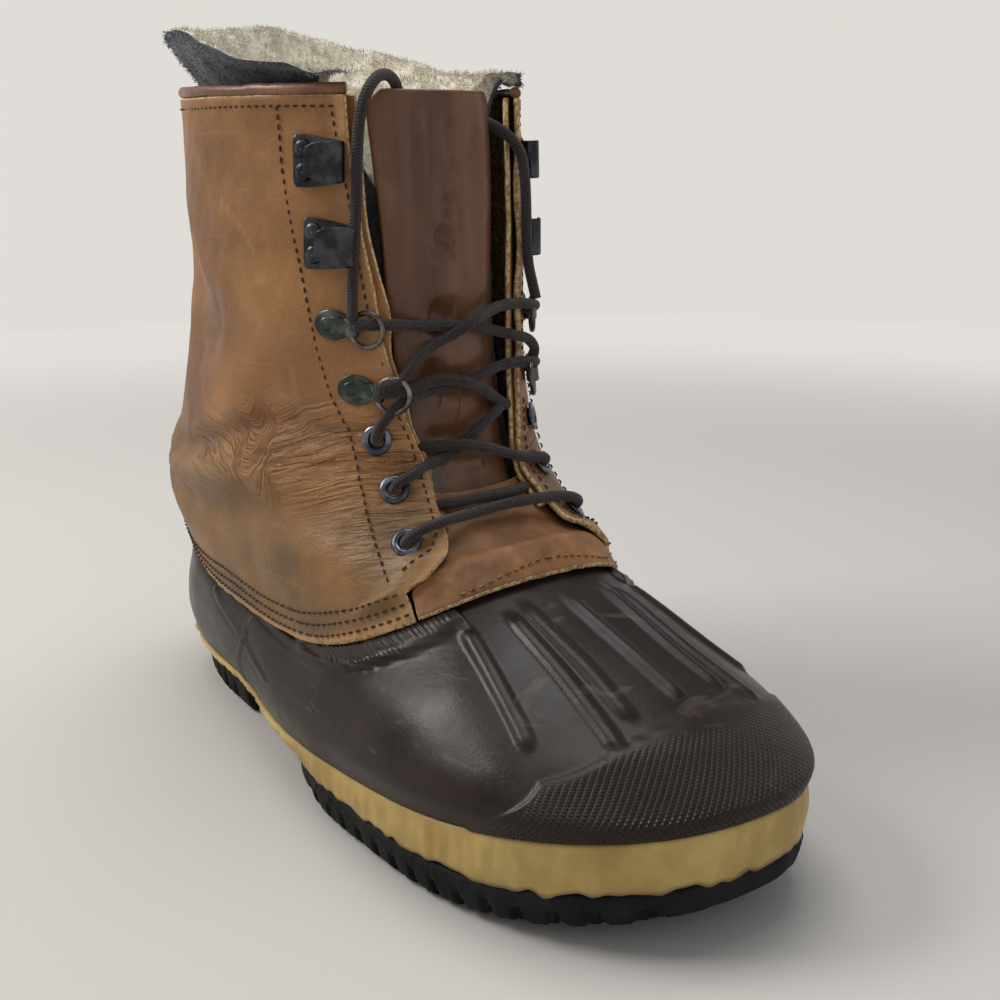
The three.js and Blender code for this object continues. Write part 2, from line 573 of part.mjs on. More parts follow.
// Room for an eyelet: a hole for its barrel, and a shallow seat for its flange
function eyeletRoom(frame) {
  const through = 4 * (LEATHER_WALL + EYELET_HEIGHT);
  const drill = new THREE.CylinderGeometry(EYELET_BARREL + GAP, EYELET_BARREL + GAP, through, 8);
  const seat = new THREE.CylinderGeometry(EYELET_FLANGE + GAP, EYELET_FLANGE + GAP, through / 4, 8);
  seat.translate(0, through / 8, 0);
  for (const shape of [drill, seat]) {
    shape.rotateX(Math.PI / 2);
    shape.applyMatrix4(frame);
  }
  return toManifold(drill).add(toManifold(seat));
}

// Eyelet: a rolled flange on the leather and a short barrel through it
function makeEyelet() {
  const profile = [
    [EYELET_BORE, -LEATHER_WALL], [EYELET_BARREL, -LEATHER_WALL], [EYELET_BARREL, GAP], [EYELET_FLANGE, GAP],
    [EYELET_FLANGE - 0.8, EYELET_HEIGHT], [EYELET_BORE + 0.4, EYELET_HEIGHT], [EYELET_BORE, -LEATHER_WALL],
  ];
  const ring = new THREE.LatheGeometry(profile.map(([x, y]) => new THREE.Vector2(x, y)), 8);
  ring.rotateX(Math.PI / 2);
  return toManifold(ring);
}

// Speed hook: a riveted plate folded back over itself, open away from the throat
const HOOK_LENGTH = 16;
const HOOK_WIDTH = 16;
const HOOK_PLATE = 1.1;
const HOOK_MOUTH = 4.4;
const RIVET_RADIUS = 2.8;
function makeHook() {
  const bend = HOOK_LENGTH / 2;
  const outerRadius = HOOK_MOUTH / 2 + HOOK_PLATE;
  const middle = GAP + outerRadius;
  const shape = new THREE.Shape();
  shape.moveTo(-bend, GAP);
  shape.lineTo(bend, GAP);
  shape.absarc(bend, middle, outerRadius, -Math.PI / 2, Math.PI / 2, false);
  shape.lineTo(0, middle + outerRadius);
  shape.lineTo(-2, middle + outerRadius + 1.2);
  shape.lineTo(-2.4, middle + outerRadius + 0.2);
  shape.lineTo(0, middle + outerRadius - HOOK_PLATE);
  shape.lineTo(bend, middle + outerRadius - HOOK_PLATE);
  shape.absarc(bend, middle, HOOK_MOUTH / 2, Math.PI / 2, -Math.PI / 2, true);
  shape.lineTo(-bend, GAP + HOOK_PLATE);
  const body = new THREE.ExtrudeGeometry(shape, { depth: HOOK_WIDTH, bevelEnabled: false, curveSegments: 5 });
  body.translate(0, 0, -HOOK_WIDTH / 2);
  body.rotateX(Math.PI / 2);
  return toManifold(body).add(makeRivet(-bend / 2, GAP + HOOK_PLATE / 2));
}

function makeRivet(x, z) {
  const head = new THREE.CylinderGeometry(RIVET_RADIUS * 0.6, RIVET_RADIUS, 1.6, 8);
  head.rotateX(Math.PI / 2);
  head.translate(x, 0, z + 0.8);
  return toManifold(head);
}

// Clip: a riveted plate whose throat end is a short barrel that holds the lace ring
const CLIP_LENGTH = 14;
const CLIP_WIDTH = 10.5;
const CLIP_BARREL = 2.5;
const CLIP_BORE = 1.7;
const BARREL_LENGTH = 4;
const RING_RADIUS = 6;
const RING_WIRE = 0.9;
const BARREL_X = CLIP_LENGTH / 2 + 1;
const BARREL_Z = GAP + CLIP_BARREL;
function makeClip() {
  const plate = new THREE.BoxGeometry(CLIP_LENGTH, CLIP_WIDTH, HOOK_PLATE);
  plate.translate(-1, 0, GAP + HOOK_PLATE / 2);
  const shape = new THREE.Shape();
  shape.absarc(0, 0, CLIP_BARREL, 0, 2 * Math.PI, false);
  const bore = new THREE.Path();
  bore.absarc(0, 0, CLIP_BORE, 0, 2 * Math.PI, true);
  shape.holes.push(bore);
  const barrel = new THREE.ExtrudeGeometry(shape, { depth: BARREL_LENGTH, bevelEnabled: false, curveSegments: 5 });
  barrel.translate(0, 0, -BARREL_LENGTH / 2);
  barrel.rotateX(Math.PI / 2);
  barrel.translate(BARREL_X, 0, BARREL_Z);
  const gusset = new THREE.BoxGeometry(2.4, BARREL_LENGTH, HOOK_PLATE);
  gusset.translate(BARREL_X - 1.6, 0, GAP + HOOK_PLATE / 2);
  return toManifold(plate).add(toManifold(gusset)).add(toManifold(barrel)).add(makeRivet(-2.5, GAP + 0.5));
}

// Lace ring: round wire, its axis of swing along the clip's barrel at the ring's own origin
function makeRing() {
  const ring = new THREE.TorusGeometry(RING_RADIUS, RING_WIRE, 5, 12);
  ring.translate(RING_RADIUS, 0, 0);
  return toManifold(ring);
}

function addFramed(name, manifold, material, frame, offset = new THREE.Vector3()) {
  const mesh = addPiece(name, manifold, material);
  mesh.position.copy(offset.clone().applyMatrix4(frame));
  mesh.quaternion.setFromRotationMatrix(new THREE.Matrix4().extractRotation(frame));
  return mesh;
}

addPiece('shaft', makeShaft(), 'tan_leather');
addPiece('vamp', makeVamp(), 'tan_leather');
addPiece('tongue', makeTongue(), 'brown_leather');
addPiece('collar_binding', makeBinding(), 'brown_leather');
for (const [side, label] of SIDES) {
  addPiece(`facing_${label}`, makeFacing(side), 'tan_leather');
  EYELET_PLACES.forEach(([level, turn], n) =>
    addFramed(`eyelet_${label}_${n + 1}`, makeEyelet(), 'gunmetal', surfaceFrame(level, turn, side)));
  HOOK_PLACES.forEach(([level, turn], n) =>
    addFramed(`hook_${label}_${n + 1}`, makeHook(), 'gunmetal', surfaceFrame(level, turn, side)));
  CLIP_PLACES.forEach(([level, turn], n) => {
    const frame = surfaceFrame(level, turn, side);
    addFramed(`ring_clip_${label}_${n + 1}`, makeClip(), 'gunmetal', frame);
    const pivot = new THREE.Vector3(BARREL_X, 0, BARREL_Z);
    addFramed(`lace_ring_${label}_${n + 1}`, makeRing(), 'gunmetal', frame, pivot);
  });
}

// Felt liner: stands on the insole, follows the upper inside and flares over the collar
const LINER_DEPTH = 8; // inside the last, in the shaft
const LINER_FLARE = 7.5; // how far it opens out again at the collar
const TONGUE_ROOM = 4.5;
const SLIT_MIDDLE = -3; // the liner's front slit: a wedge behind the tongue
const SLIT_HALF = 50;
const SLIT_FOOT = 168;
const SLIT_HEIGHT = 120;
function makeLiner() {
  const levels = [1.8, 2.6, 3.6, 5, 6, 7, 8.4, 10.4, 11.2, 12];
  const clear = (level) => {
    const inShell = RUBBER_WALL + GAP + 3.2 * CURVE_PLAY;
    return mix(inShell, LINER_DEPTH, smooth(5, 6.5, level)) - LINER_FLARE * smooth(10.6, 11.6, level);
  };
  const behindTongue = (level, turn) => TONGUE_ROOM * smooth(6, 7.2, level) *
    (1 - smooth(0.075, 0.13, Math.abs(turn - 0.5)));
  const foot = BAND_WALL + 2 * GAP + RUBBER_WALL + 0.6 * CURVE_PLAY;
  const step = (x) => Math.max(bandTop(x) + 2 * GAP, insoleTop(x) + GAP + 1);
  const outer = [
    roundTurns.map((turn) => planInset(turn, () => foot, (x) => insoleTop(x) + GAP)),
    roundTurns.map((turn) => planInset(turn, () => foot, step)),
    ...levels.map((level) => roundTurns.map((turn) => {
      const extra = (foot - RUBBER_WALL) * (1 - smooth(0.5, 3.2, level)) + behindTongue(level, turn);
      return skinPoint(level, turn, -clear(level) - extra);
    })),
  ];
  const inner = [
    roundTurns.map((turn) => planInset(turn, () => foot + FELT_WALL, (x) => insoleTop(x) + GAP)),
    roundTurns.map((turn) => planInset(turn, () => foot + FELT_WALL, step)),
    ...levels.map((level) => roundTurns.map((turn) => {
      const extra = (foot - RUBBER_WALL) * (1 - smooth(0.5, 3.2, level)) + behindTongue(level, turn);
      return skinPoint(level, turn, -clear(level) - extra - FELT_WALL);
    })),
  ];
  const slit = new THREE.Shape();
  slit.moveTo(SLIT_MIDDLE, SLIT_FOOT);
  slit.lineTo(SLIT_MIDDLE + SLIT_HALF, SLIT_FOOT + SLIT_HEIGHT);
  slit.lineTo(SLIT_MIDDLE - SLIT_HALF, SLIT_FOOT + SLIT_HEIGHT);
  const wedge = new THREE.ExtrudeGeometry(slit, { depth: COLLAR_LENGTH, bevelEnabled: false });
  wedge.rotateX(Math.PI / 2);
  wedge.rotateZ(Math.PI / 2);
  wedge.translate(COLLAR_X, 0, 0);
  return wall(outer, inner, true).subtract(toManifold(wedge));
}
addPiece('liner', makeLiner(), 'felt');

// Round cord along points of the boot
const LACE_RADIUS = 2;
const LACE_SIDES = 6;
function cord(points, steps) {
  const round = new THREE.Shape();
  round.absarc(0, 0, LACE_RADIUS, 0, 2 * Math.PI, false);
  const path = new THREE.CatmullRomCurve3(points);
  const options = { extrudePath: path, steps, bevelEnabled: false, curveSegments: LACE_SIDES / 2 };
  return toManifold(new THREE.ExtrudeGeometry(round, options));
}

// Lace bars across the throat. over: 1 where an end lies on the leather, 0 where it dips under a facing.
// lift: height above its usual bed on the tongue
const LACE_HIGH = LEATHER_IN + LEATHER_WALL + LACE_RADIUS + 4 * GAP;
const LACE_LOW = TONGUE_OUT + LACE_RADIUS + CURVE_PLAY + 2 * GAP;
const VAMP_LIFT = 3.4;
// Columns: piece, startLevel, startTurn, startOver, endLevel, endTurn, endOver, lift
const LACE_BARS = [
  ['lace_bar_1', 6.23, 0.4225, 1, 6.23, 0.5775, 1, VAMP_LIFT],
  ['lace_bar_2', 6.95, 0.4600, 0, 7.15, 0.5350, 0, 0.8 * VAMP_LIFT],
  ['lace_bar_3', 7.54, 0.4310, 1, 8.30, 0.5450, 0, 0],
  ['lace_bar_3', 7.95, 0.4640, 0, 7.54, 0.5690, 1, 0],
  ['lace_bar_4', 8.34, 0.4210, 1, 8.86, 0.5550, 1, 0],
  ['lace_bar_4', 8.88, 0.4450, 1, 8.88, 0.5560, 1, 0],
  ['lace_bar_5', 8.98, 0.4450, 1, 9.42, 0.5740, 1, 0],
  ['lace_bar_5', 9.37, 0.4250, 1, 9.36, 0.5750, 1, 0],
];
function laceBar([, startLevel, startTurn, startOver, endLevel, endTurn, endOver, lift]) {
  const places = [0, 0.12, 0.3, 0.5, 0.7, 0.88, 1];
  const points = places.map((share) => {
    const level = mix(startLevel, endLevel, share);
    const turn = mix(startTurn, endTurn, share);
    const spread = Math.abs(turn - 0.5) / (0.5 - throatTurn(level));
    const over = turn < 0.5 ? startOver : endOver;
    return skinPoint(level, turn, mix(LACE_LOW + lift, LACE_HIGH, over * smooth(0.25, 0.85, spread)));
  });
  return cord(points, 6);
}
const barNames = [...new Set(LACE_BARS.map(([piece]) => piece))];
for (const name of barNames) {
  const bars = LACE_BARS.filter(([piece]) => piece === name).map(laceBar);
  addPiece(name, bars.reduce((sum, bar) => sum.add(bar)), 'lace');
}

// Lace ends: from the upper ring up each front edge, and down behind the tongue. Points as level, turn, out.
const LACE_ENDS = {
  lace_end_outer: [
    [9.62, 0.4050, 6.2], [9.90, 0.4055, 5.6], [10.40, 0.4015, 5.4], [10.80, 0.4020, 5.6], [11.30, 0.4080, 4.6],
    [11.62, 0.4190, -1.5], [11.42, 0.4320, -9.5], [10.95, 0.4370, -13],
  ],
  lace_end_inner: [
    [9.62, 0.5950, 6.2], [9.90, 0.5945, 5.8], [10.40, 0.5985, 5.6], [10.66, 0.5980, 4.6], [10.75, 0.5955, -0.5],
    [10.75, 0.5925, -7.5], [10.72, 0.5800, -13],
  ],
};
for (const [name, rows] of Object.entries(LACE_ENDS)) {
  addPiece(name, cord(rows.map((row) => skinPoint(...row)), 12), 'lace');
}

// The origin goes to the middle of the bounding box's bottom
const bounds = new THREE.Box3().setFromObject(group);
const middle = bounds.getCenter(new THREE.Vector3());
group.position.set(-middle.x, -middle.y, -bounds.min.z);

export default group;
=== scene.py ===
import bpy
import math
import numpy as np
from mathutils import Matrix, Vector


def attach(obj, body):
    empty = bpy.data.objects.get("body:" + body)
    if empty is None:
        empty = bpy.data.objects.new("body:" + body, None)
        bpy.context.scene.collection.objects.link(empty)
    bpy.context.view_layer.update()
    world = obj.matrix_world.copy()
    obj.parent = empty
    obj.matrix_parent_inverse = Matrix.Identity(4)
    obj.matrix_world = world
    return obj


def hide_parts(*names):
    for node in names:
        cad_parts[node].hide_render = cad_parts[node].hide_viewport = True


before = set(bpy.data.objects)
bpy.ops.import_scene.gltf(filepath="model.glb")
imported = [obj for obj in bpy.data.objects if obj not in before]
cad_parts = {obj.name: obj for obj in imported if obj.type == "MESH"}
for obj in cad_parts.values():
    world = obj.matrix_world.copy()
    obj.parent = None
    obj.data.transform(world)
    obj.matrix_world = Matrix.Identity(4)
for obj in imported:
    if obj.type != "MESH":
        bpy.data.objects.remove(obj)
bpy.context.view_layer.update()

# Shapes are worked out in millimetres, with X = 0 at the heel's back and Z = 0 on the floor, and SHIFT moves
# them into the frame
SHIFT = np.array([-161.264, 3.814, 0.0])

# Camera, fitted to the photo
CAMERA = np.array([561.169, -268.225, 231.940])
YAW, PITCH, ROLL = 2.49690528, 0.263456579, -0.00731186
FOCAL_PX, PHOTO_PX, SENSOR = 1297.99, 1000, 36
forward = np.array([math.cos(PITCH) * math.cos(YAW), math.cos(PITCH) * math.sin(YAW), -math.sin(PITCH)])
right = np.array([math.sin(YAW), -math.cos(YAW), 0.0])
up = np.cross(right, forward)
right, up = (math.cos(ROLL) * right + math.sin(ROLL) * up, -math.sin(ROLL) * right + math.cos(ROLL) * up)
place = (CAMERA + SHIFT) / 1000
cam_data = bpy.data.cameras.new("camera")
cam_data.lens = FOCAL_PX / PHOTO_PX * SENSOR
cam_data.sensor_width = SENSOR
cam_data.clip_start = 0.01
cam = bpy.data.objects.new("camera", cam_data)
cam.matrix_world = Matrix([(right[k], up[k], -forward[k], place[k]) for k in range(3)] + [(0, 0, 0, 1)])
bpy.context.scene.collection.objects.link(cam)
bpy.context.scene.camera = cam

# The last, as in the part's source. Places on it are a level, from 0 at the band to 11 at the collar, and a
# turn, from 0 at the heel over the outer side to 0.5 at the toe
LENGTH = 330.0
BALL_LATERAL, BALL_MEDIAL, BALL_SKEW = 68.0, 62.0, 12.0
WAIST_LATERAL, WAIST_MEDIAL, WAIST_REACH = 9.0, 15.0, 48.0
INNER_TAPER, TOE_SWING = 0.76, 8.5
COLLAR_X, COLLAR_LENGTH, COLLAR_WIDTH = 107.4, 150.0, 110.0
BAND_H, RIM_H, COLLAR_H = (27.0, 22.0, 41.0), (77.0, 58.0, 88.5), (256.0, 253.0, 251.0)
GAP, CURVE_PLAY = 0.3, 1.0
RUBBER_WALL, LEATHER_WALL, FELT_WALL, FACING_WALL = 3.0, 2.2, 7.0, 1.8
BAND_WALL, BAND_FLOOR, BAND_PROUD = 4.0, 3.0, 0.8
INSOLE_THICKNESS = 5.0
LEATHER_IN = GAP + CURVE_PLAY
LEATHER_OUT = LEATHER_IN + LEATHER_WALL
COLS = ["front", "back", "slim", "wide", "waist", "swing", "bluntFront", "bluntBack",
        "riseBack", "riseSide", "riseFront", "low", "curve"]
ROWS = np.array([
    [0.000, 0.00, 0.00, 0.680, 1.00, 1.00, 2.5, 2.6, 0.000, 0.000, 0.000, 0.33, 2.0],
    [-0.003, -0.06, -0.25, 0.680, 0.80, 1.00, 2.5, 2.6, 0.220, 0.320, 0.105, 0.35, 2.0],
    [0.042, -0.03, -0.21, 0.680, 0.65, 1.00, 2.5, 2.6, 0.460, 0.570, 0.200, 0.36, 2.0],
    [0.155, 0.03, 0.00, 0.685, 0.50, 0.80, 2.5, 2.6, 0.660, 0.730, 0.380, 0.40, 2.0],
    [0.365, 0.06, 0.29, 0.690, 0.45, 0.50, 2.5, 2.6, 0.820, 0.865, 0.640, 0.42, 2.2],
    [0.684, 0.09, 0.83, 0.740, 0.25, 0.30, 2.6, 2.6, 1.000, 1.000, 1.000, 0.45, 3.5],
    [0.786, -0.19, 0.79, 0.640, 0.10, 0.10, 2.5, 2.8, 1.175, 1.133, 1.071, 0.45, 2.5],
    [0.881, 0.06, 0.92, 0.585, 0.00, 0.00, 2.4, 2.4, 1.285, 1.246, 1.132, 0.50, 2.0],
    [0.942, 0.31, 1.08, 0.540, 0.00, 0.00, 2.3, 2.2, 1.390, 1.370, 1.200, 0.50, 2.0],
    [0.976, 0.56, 1.21, 0.520, 0.00, 0.00, 2.1, 2.0, 1.530, 1.533, 1.409, 0.50, 2.0],
    [0.982, 0.80, 1.12, 0.510, 0.00, 0.00, 2.0, 2.0, 1.754, 1.770, 1.717, 0.50, 2.0],
    [1.000, 1.00, 1.00, 0.500, 0.00, 0.00, 2.0, 2.0, 2.000, 2.000, 2.000, 0.50, 2.0],
    [0.960, 0.72, 0.45, 0.490, 0.00, 0.00, 2.0, 2.0, 2.150, 2.040, 2.000, 0.60, 2.0],
])
TOP = len(ROWS) - 1


def smooth(low, high, v):
    t = np.clip((np.asarray(v, float) - low) / (high - low), 0, 1)
    return t * t * (3 - 2 * t)


def mix(a, b, t):
    return a + (b - a) * t


def row_at(level):
    i = np.clip(np.floor(level).astype(int), 0, TOP - 1)
    t = (level - i)[..., None]
    p0, p1, p2, p3 = (ROWS[np.clip(i + k, 0, TOP)] for k in (-1, 0, 1, 2))
    a, b = (p2 - p0) / 2, (p3 - p1) / 2
    r = p1 + t * (a + t * (3 * (p2 - p1) - 2 * a - b + t * (2 * (p1 - p2) + a + b)))
    return {name: r[..., k] for k, name in enumerate(COLS)}


def height(rise, band, rim, collar):
    return np.where(rise < 1, mix(band, rim, rise), mix(rim, collar, rise - 1))


def last_point(level, turn):
    level, turn = np.broadcast_arrays(np.asarray(level, float), np.asarray(turn, float))
    r = row_at(level)
    c, s = np.cos(turn * 2 * np.pi), np.sin(turn * 2 * np.pi)
    lateral = s >= 0
    back_x = (COLLAR_X - COLLAR_LENGTH / 2) * r["back"]
    front_x = mix(LENGTH, COLLAR_X + COLLAR_LENGTH / 2, r["front"])
    wide_x = mix(back_x, front_x, r["wide"]) + np.where(lateral, 0, BALL_SKEW * r["waist"])
    taper = np.where(lateral, 1, mix(1, INNER_TAPER, r["waist"]))
    blunt = np.where(c > 0, r["bluntBack"], r["bluntFront"] * taper)
    run = np.abs(c) ** (2 / blunt)
    x = np.where(c > 0, wide_x - (wide_x - back_x) * run, wide_x + (front_x - wide_x) * run)
    foot = np.where(lateral, BALL_LATERAL, BALL_MEDIAL)
    waist = np.where(lateral, WAIST_LATERAL, WAIST_MEDIAL) * r["waist"]
    waist_x = LENGTH * np.where(lateral, 0.29, 0.4)
    half = mix(foot, COLLAR_WIDTH / 2, r["slim"]) - waist * np.exp(-(((x - waist_x) / WAIST_REACH) ** 2))
    swing = TOE_SWING * r["swing"] * np.clip((x - wide_x) / (front_x - wide_x), 0, 1) ** 2
    y = np.where(lateral, -1, 1) * half * np.abs(s) ** (2 / blunt) + swing
    share = np.clip((x - back_x) / (front_x - back_x), 0, 1)
    hb, hs, hf = (height(r[k], BAND_H[n], RIM_H[n], COLLAR_H[n])
                  for n, k in enumerate(("riseBack", "riseSide", "riseFront")))
    low = r["low"]
    z = np.where(share < low, mix(hs, hb, np.clip(1 - share / low, 0, 1) ** 2),
                 mix(hs, hf, np.clip((share - low) / (1 - low), 0, 1) ** r["curve"]))
    return np.stack([x, y, z], -1)


def last_normal(level, turn):
    level, turn = np.broadcast_arrays(np.asarray(level, float), np.asarray(turn, float))
    along = last_point(level, turn + 0.004) - last_point(level, turn - 0.004)
    rise = last_point(np.minimum(level + 0.05, TOP), turn) - last_point(np.maximum(level - 0.05, 0), turn)
    n = np.cross(along, rise)
    return n / np.linalg.norm(n, axis=-1, keepdims=True)


def skin(level, turn, out):
    out = np.asarray(out, float)
    return last_point(level, turn) + last_normal(level, turn) * out[..., None]


def waves(p, size, seed, count=14):
    """Smooth wandering value in about -1..1 at a length of size, from fixed sine waves."""
    r = np.random.default_rng(seed)
    total = np.zeros(p.shape[:-1])
    for _ in range(count):
        d = r.normal(size=3)
        d *= 2 * np.pi / (size * (0.6 + 0.9 * r.random())) / np.linalg.norm(d)
        total += np.sin(p @ d + r.random() * 6.28)
    return total / math.sqrt(count)


# Meshes
def new_mesh(name, verts, faces, uv=None, mats=(), index=None, attrs=None, smooth_faces=True):
    me = bpy.data.meshes.new(name)
    me.from_pydata(((np.asarray(verts) + SHIFT) / 1000).tolist(), [], faces)
    if uv is not None:
        layer = me.uv_layers.new(name="uv")
        loops = np.empty(len(me.loops), dtype=np.int32)
        me.loops.foreach_get("vertex_index", loops)
        layer.data.foreach_set("uv", np.asarray(uv, dtype=np.float32)[loops].ravel())
    for m in mats:
        me.materials.append(m)
    if index is not None:
        me.polygons.foreach_set("material_index", np.asarray(index, dtype=np.int32))
    for key, values in (attrs or {}).items():
        a = me.attributes.new(key, "FLOAT", "POINT")
        a.data.foreach_set("value", np.asarray(values, dtype=np.float32).ravel())
    if smooth_faces:
        me.polygons.foreach_set("use_smooth", np.ones(len(me.polygons), dtype=bool))
    me.validate()
    me.update()
    o = bpy.data.objects.new(name.replace(" ", "_"), me)
    bpy.context.scene.collection.objects.link(o)
    return o


def grid_faces(rows, cols):
    """Quads of a grid whose columns run round."""
    r, c = np.meshgrid(np.arange(rows - 1), np.arange(cols), indexing="ij")
    n = (c + 1) % cols
    return np.stack([r * cols + c, r * cols + n, (r + 1) * cols + n, (r + 1) * cols + c], -1).reshape(-1, 4)


def ring_faces(rows, cols):
    """Quads of a grid whose columns and rows both run round."""
    c = np.arange(cols)
    n, top = (c + 1) % cols, (rows - 1) * cols
    return np.concatenate([grid_faces(rows, cols), np.stack([top + c, top + n, n, c], -1)]).tolist()


def sleeve_faces(rows, cols, flip=False):
    """Quads of a grid whose rows run round, with both ends closed."""
    faces = []
    for r in range(rows):
        n = (r + 1) % rows
        for c in range(cols - 1):
            quad = [r * cols + c, r * cols + c + 1, n * cols + c + 1, n * cols + c]
            faces.append([quad[0], *quad[:0:-1]] if flip else quad)
    start = [r * cols for r in range(rows)]
    end = [r * cols + cols - 1 for r in range(rows)]
    return faces + ([start[::-1], end] if flip else [start, end[::-1]])


def measured(p):
    """UV in mm: lengths along the rows, from the middle column, and up the columns."""
    du = np.linalg.norm(np.diff(p, axis=1), axis=-1)
    u = np.concatenate([np.zeros((len(p), 1)), np.cumsum(du, axis=1)], axis=1)
    u = u - u[:, [p.shape[1] // 2]]
    dv = np.linalg.norm(np.diff(p, axis=0), axis=-1)
    v = np.concatenate([np.zeros((1, p.shape[1])), np.cumsum(dv, axis=0)], axis=0)
    return np.stack([u, v], -1)


def strip_wall(name, outer, inner, mats, attrs=None, lip=0.45):
    """Wall open at its two sides, with rounded edges all round. outer and inner are (rows, columns, 3)."""
    rows, cols = outer.shape[:2]
    mid = (outer + inner) / 2
    thick = np.linalg.norm(outer - inner, axis=-1, keepdims=True)

    def off(a, b, t):
        d = a - b
        return a + d / np.maximum(np.linalg.norm(d, axis=-1, keepdims=True), 1e-6) * t * lip
    end = off(mid[:, -1], mid[:, -2], thick[:, -1])
    start = off(mid[:, 0], mid[:, 1], thick[:, 0])
    loop = np.concatenate([outer, end[:, None], inner[:, ::-1], start[:, None]], axis=1)
    centre = np.concatenate([mid, end[:, None], mid[:, ::-1], start[:, None]], axis=1)
    t_loop = np.concatenate([thick, thick[:, -1:], thick[:, ::-1], thick[:, :1]], axis=1)
    low = off(centre[0], centre[1], t_loop[0]) + (loop[0] - centre[0]) * 0.3
    top = off(centre[-1], centre[-2], t_loop[-1]) + (loop[-1] - centre[-1]) * 0.3
    stack = np.concatenate([low[None], loop, top[None]])
    u = measured(outer)
    uv = np.concatenate([u, u[:, -1:] + [1, 0], u[:, ::-1], u[:, :1] - [1, 0]], axis=1)
    uv = np.concatenate([uv[:1] - [0, 1], uv, uv[-1:] + [0, 1]])
    total = loop.shape[1]
    column_zone = np.array([0] * (cols - 1) + [2, 2] + [1] * (cols - 1) + [2, 2])[:total]
    faces = grid_faces(rows + 2, total)
    index = np.tile(column_zone, rows + 1)
    index[:total] = 2
    index[-total:] = 2
    faces, index = faces.tolist(), index.tolist()
    for base, way in ((0, -1), ((rows + 1) * total, 1)):
        ends = [[base + c, base + c + 1, base + total - 3 - c, base + total - 2 - c] for c in range(cols - 1)]
        ends += [[base + cols - 1, base + cols, base + cols + 1], [base + total - 1, base, base + total - 2]]
        faces += [face[::way] for face in ends]
        index += [2] * len(ends)
    full = {}
    for key, v in (attrs or {}).items():
        w = np.concatenate([v, v[:, -1:], v[:, ::-1], v[:, :1]], axis=1)
        full[key] = np.concatenate([w[:1], w, w[-1:]]).ravel()
    return new_mesh(name, stack.reshape(-1, 3), faces, uv.reshape(-1, 2), mats, index, full)


def tube(name, points, radius, mats, sides=16):
    """Round cord along points in mm, with its own length as v."""
    p = np.asarray(points, float)
    n = len(p)
    t = np.gradient(p, axis=0)
    t /= np.linalg.norm(t, axis=1, keepdims=True)
    side = np.zeros_like(p)
    ref = np.array([0.0, 0.0, 1.0]) if abs(t[0][2]) < 0.9 else np.array([1.0, 0.0, 0.0])
    side[0] = np.cross(t[0], ref)
    side[0] /= np.linalg.norm(side[0])
    for k in range(1, n):
        v = side[k - 1] - t[k] * (side[k - 1] @ t[k])
        side[k] = v / np.linalg.norm(v)
    other = np.cross(t, side)
    a = np.linspace(0, 2 * np.pi, sides, endpoint=False)
    r = np.asarray(radius, float) * np.ones(n)
    ring = side[:, None] * np.cos(a)[None, :, None] + other[:, None] * np.sin(a)[None, :, None]
    v = p[:, None] + ring * r[:, None, None]
    along = np.r_[0, np.cumsum(np.linalg.norm(np.diff(p, axis=0), axis=1))]
    uv = np.stack(np.broadcast_arrays((np.arange(sides) / sides)[None, :] * 10, along[:, None]), -1)
    faces = grid_faces(n, sides).tolist()
    faces.append(list(range(sides))[::-1])
    faces.append([(n - 1) * sides + c for c in range(sides)])
    return new_mesh(name, v.reshape(-1, 3), faces, uv.reshape(-1, 2), mats)


def spline(points, count):
    """Points along a smooth curve through the given ones, evenly spaced."""
    p = np.asarray(points, float)
    q = np.concatenate([[2 * p[0] - p[1]], p, [2 * p[-1] - p[-2]]])
    out = []
    for i in range(len(p) - 1):
        p0, p1, p2, p3 = q[i:i + 4]
        d = [max(np.linalg.norm(b - a), 1e-6) ** 0.5 for a, b in ((p0, p1), (p1, p2), (p2, p3))]
        t0, t1 = 0.0, d[0]
        t2, t3 = t1 + d[1], t1 + d[1] + d[2]
        for t in np.linspace(t1, t2, 24, endpoint=False):
            a1 = (t1 - t) / (t1 - t0) * p0 + (t - t0) / (t1 - t0) * p1
            a2 = (t2 - t) / (t2 - t1) * p1 + (t - t1) / (t2 - t1) * p2
            a3 = (t3 - t) / (t3 - t2) * p2 + (t - t2) / (t3 - t2) * p3
            b1 = (t2 - t) / (t2 - t0) * a1 + (t - t0) / (t2 - t0) * a2
            b2 = (t3 - t) / (t3 - t1) * a2 + (t - t1) / (t3 - t1) * a3
            out.append((t2 - t) / (t2 - t1) * b1 + (t - t1) / (t2 - t1) * b2)
    out.append(p[-1])
    out = np.array(out)
    s = np.r_[0, np.cumsum(np.linalg.norm(np.diff(out, axis=0), axis=1))]
    want = np.linspace(0, s[-1], count)
    return np.stack([np.interp(want, s, out[:, k]) for k in range(3)], -1)


def near_path(p, path, reach):
    """Distance in mm of each point to a path, at most reach, and the share of the path that is nearest."""
    flat = p.reshape(-1, 3)
    low, high = path.min(0) - reach, path.max(0) + reach
    inside = np.all((flat > low) & (flat < high), axis=1)
    d = np.full(len(flat), float(reach))
    at = np.zeros(len(flat))
    q = flat[inside]
    if len(q):
        a, b = path[:-1], path[1:]
        ab = b - a
        l2 = np.maximum((ab ** 2).sum(1), 1e-9)
        best = np.full(len(q), 1e9)
        where = np.zeros(len(q))
        for k in range(len(a)):
            t = np.clip(((q - a[k]) @ ab[k]) / l2[k], 0, 1)
            e = np.linalg.norm(a[k] + t[:, None] * ab[k] - q, axis=1)
            closer = e < best
            best = np.where(closer, e, best)
            where = np.where(closer, (k + t) / len(a), where)
        d[inside] = np.minimum(best, reach)
        at[inside] = where
    return d.reshape(p.shape[:-1]), at.reshape(p.shape[:-1])


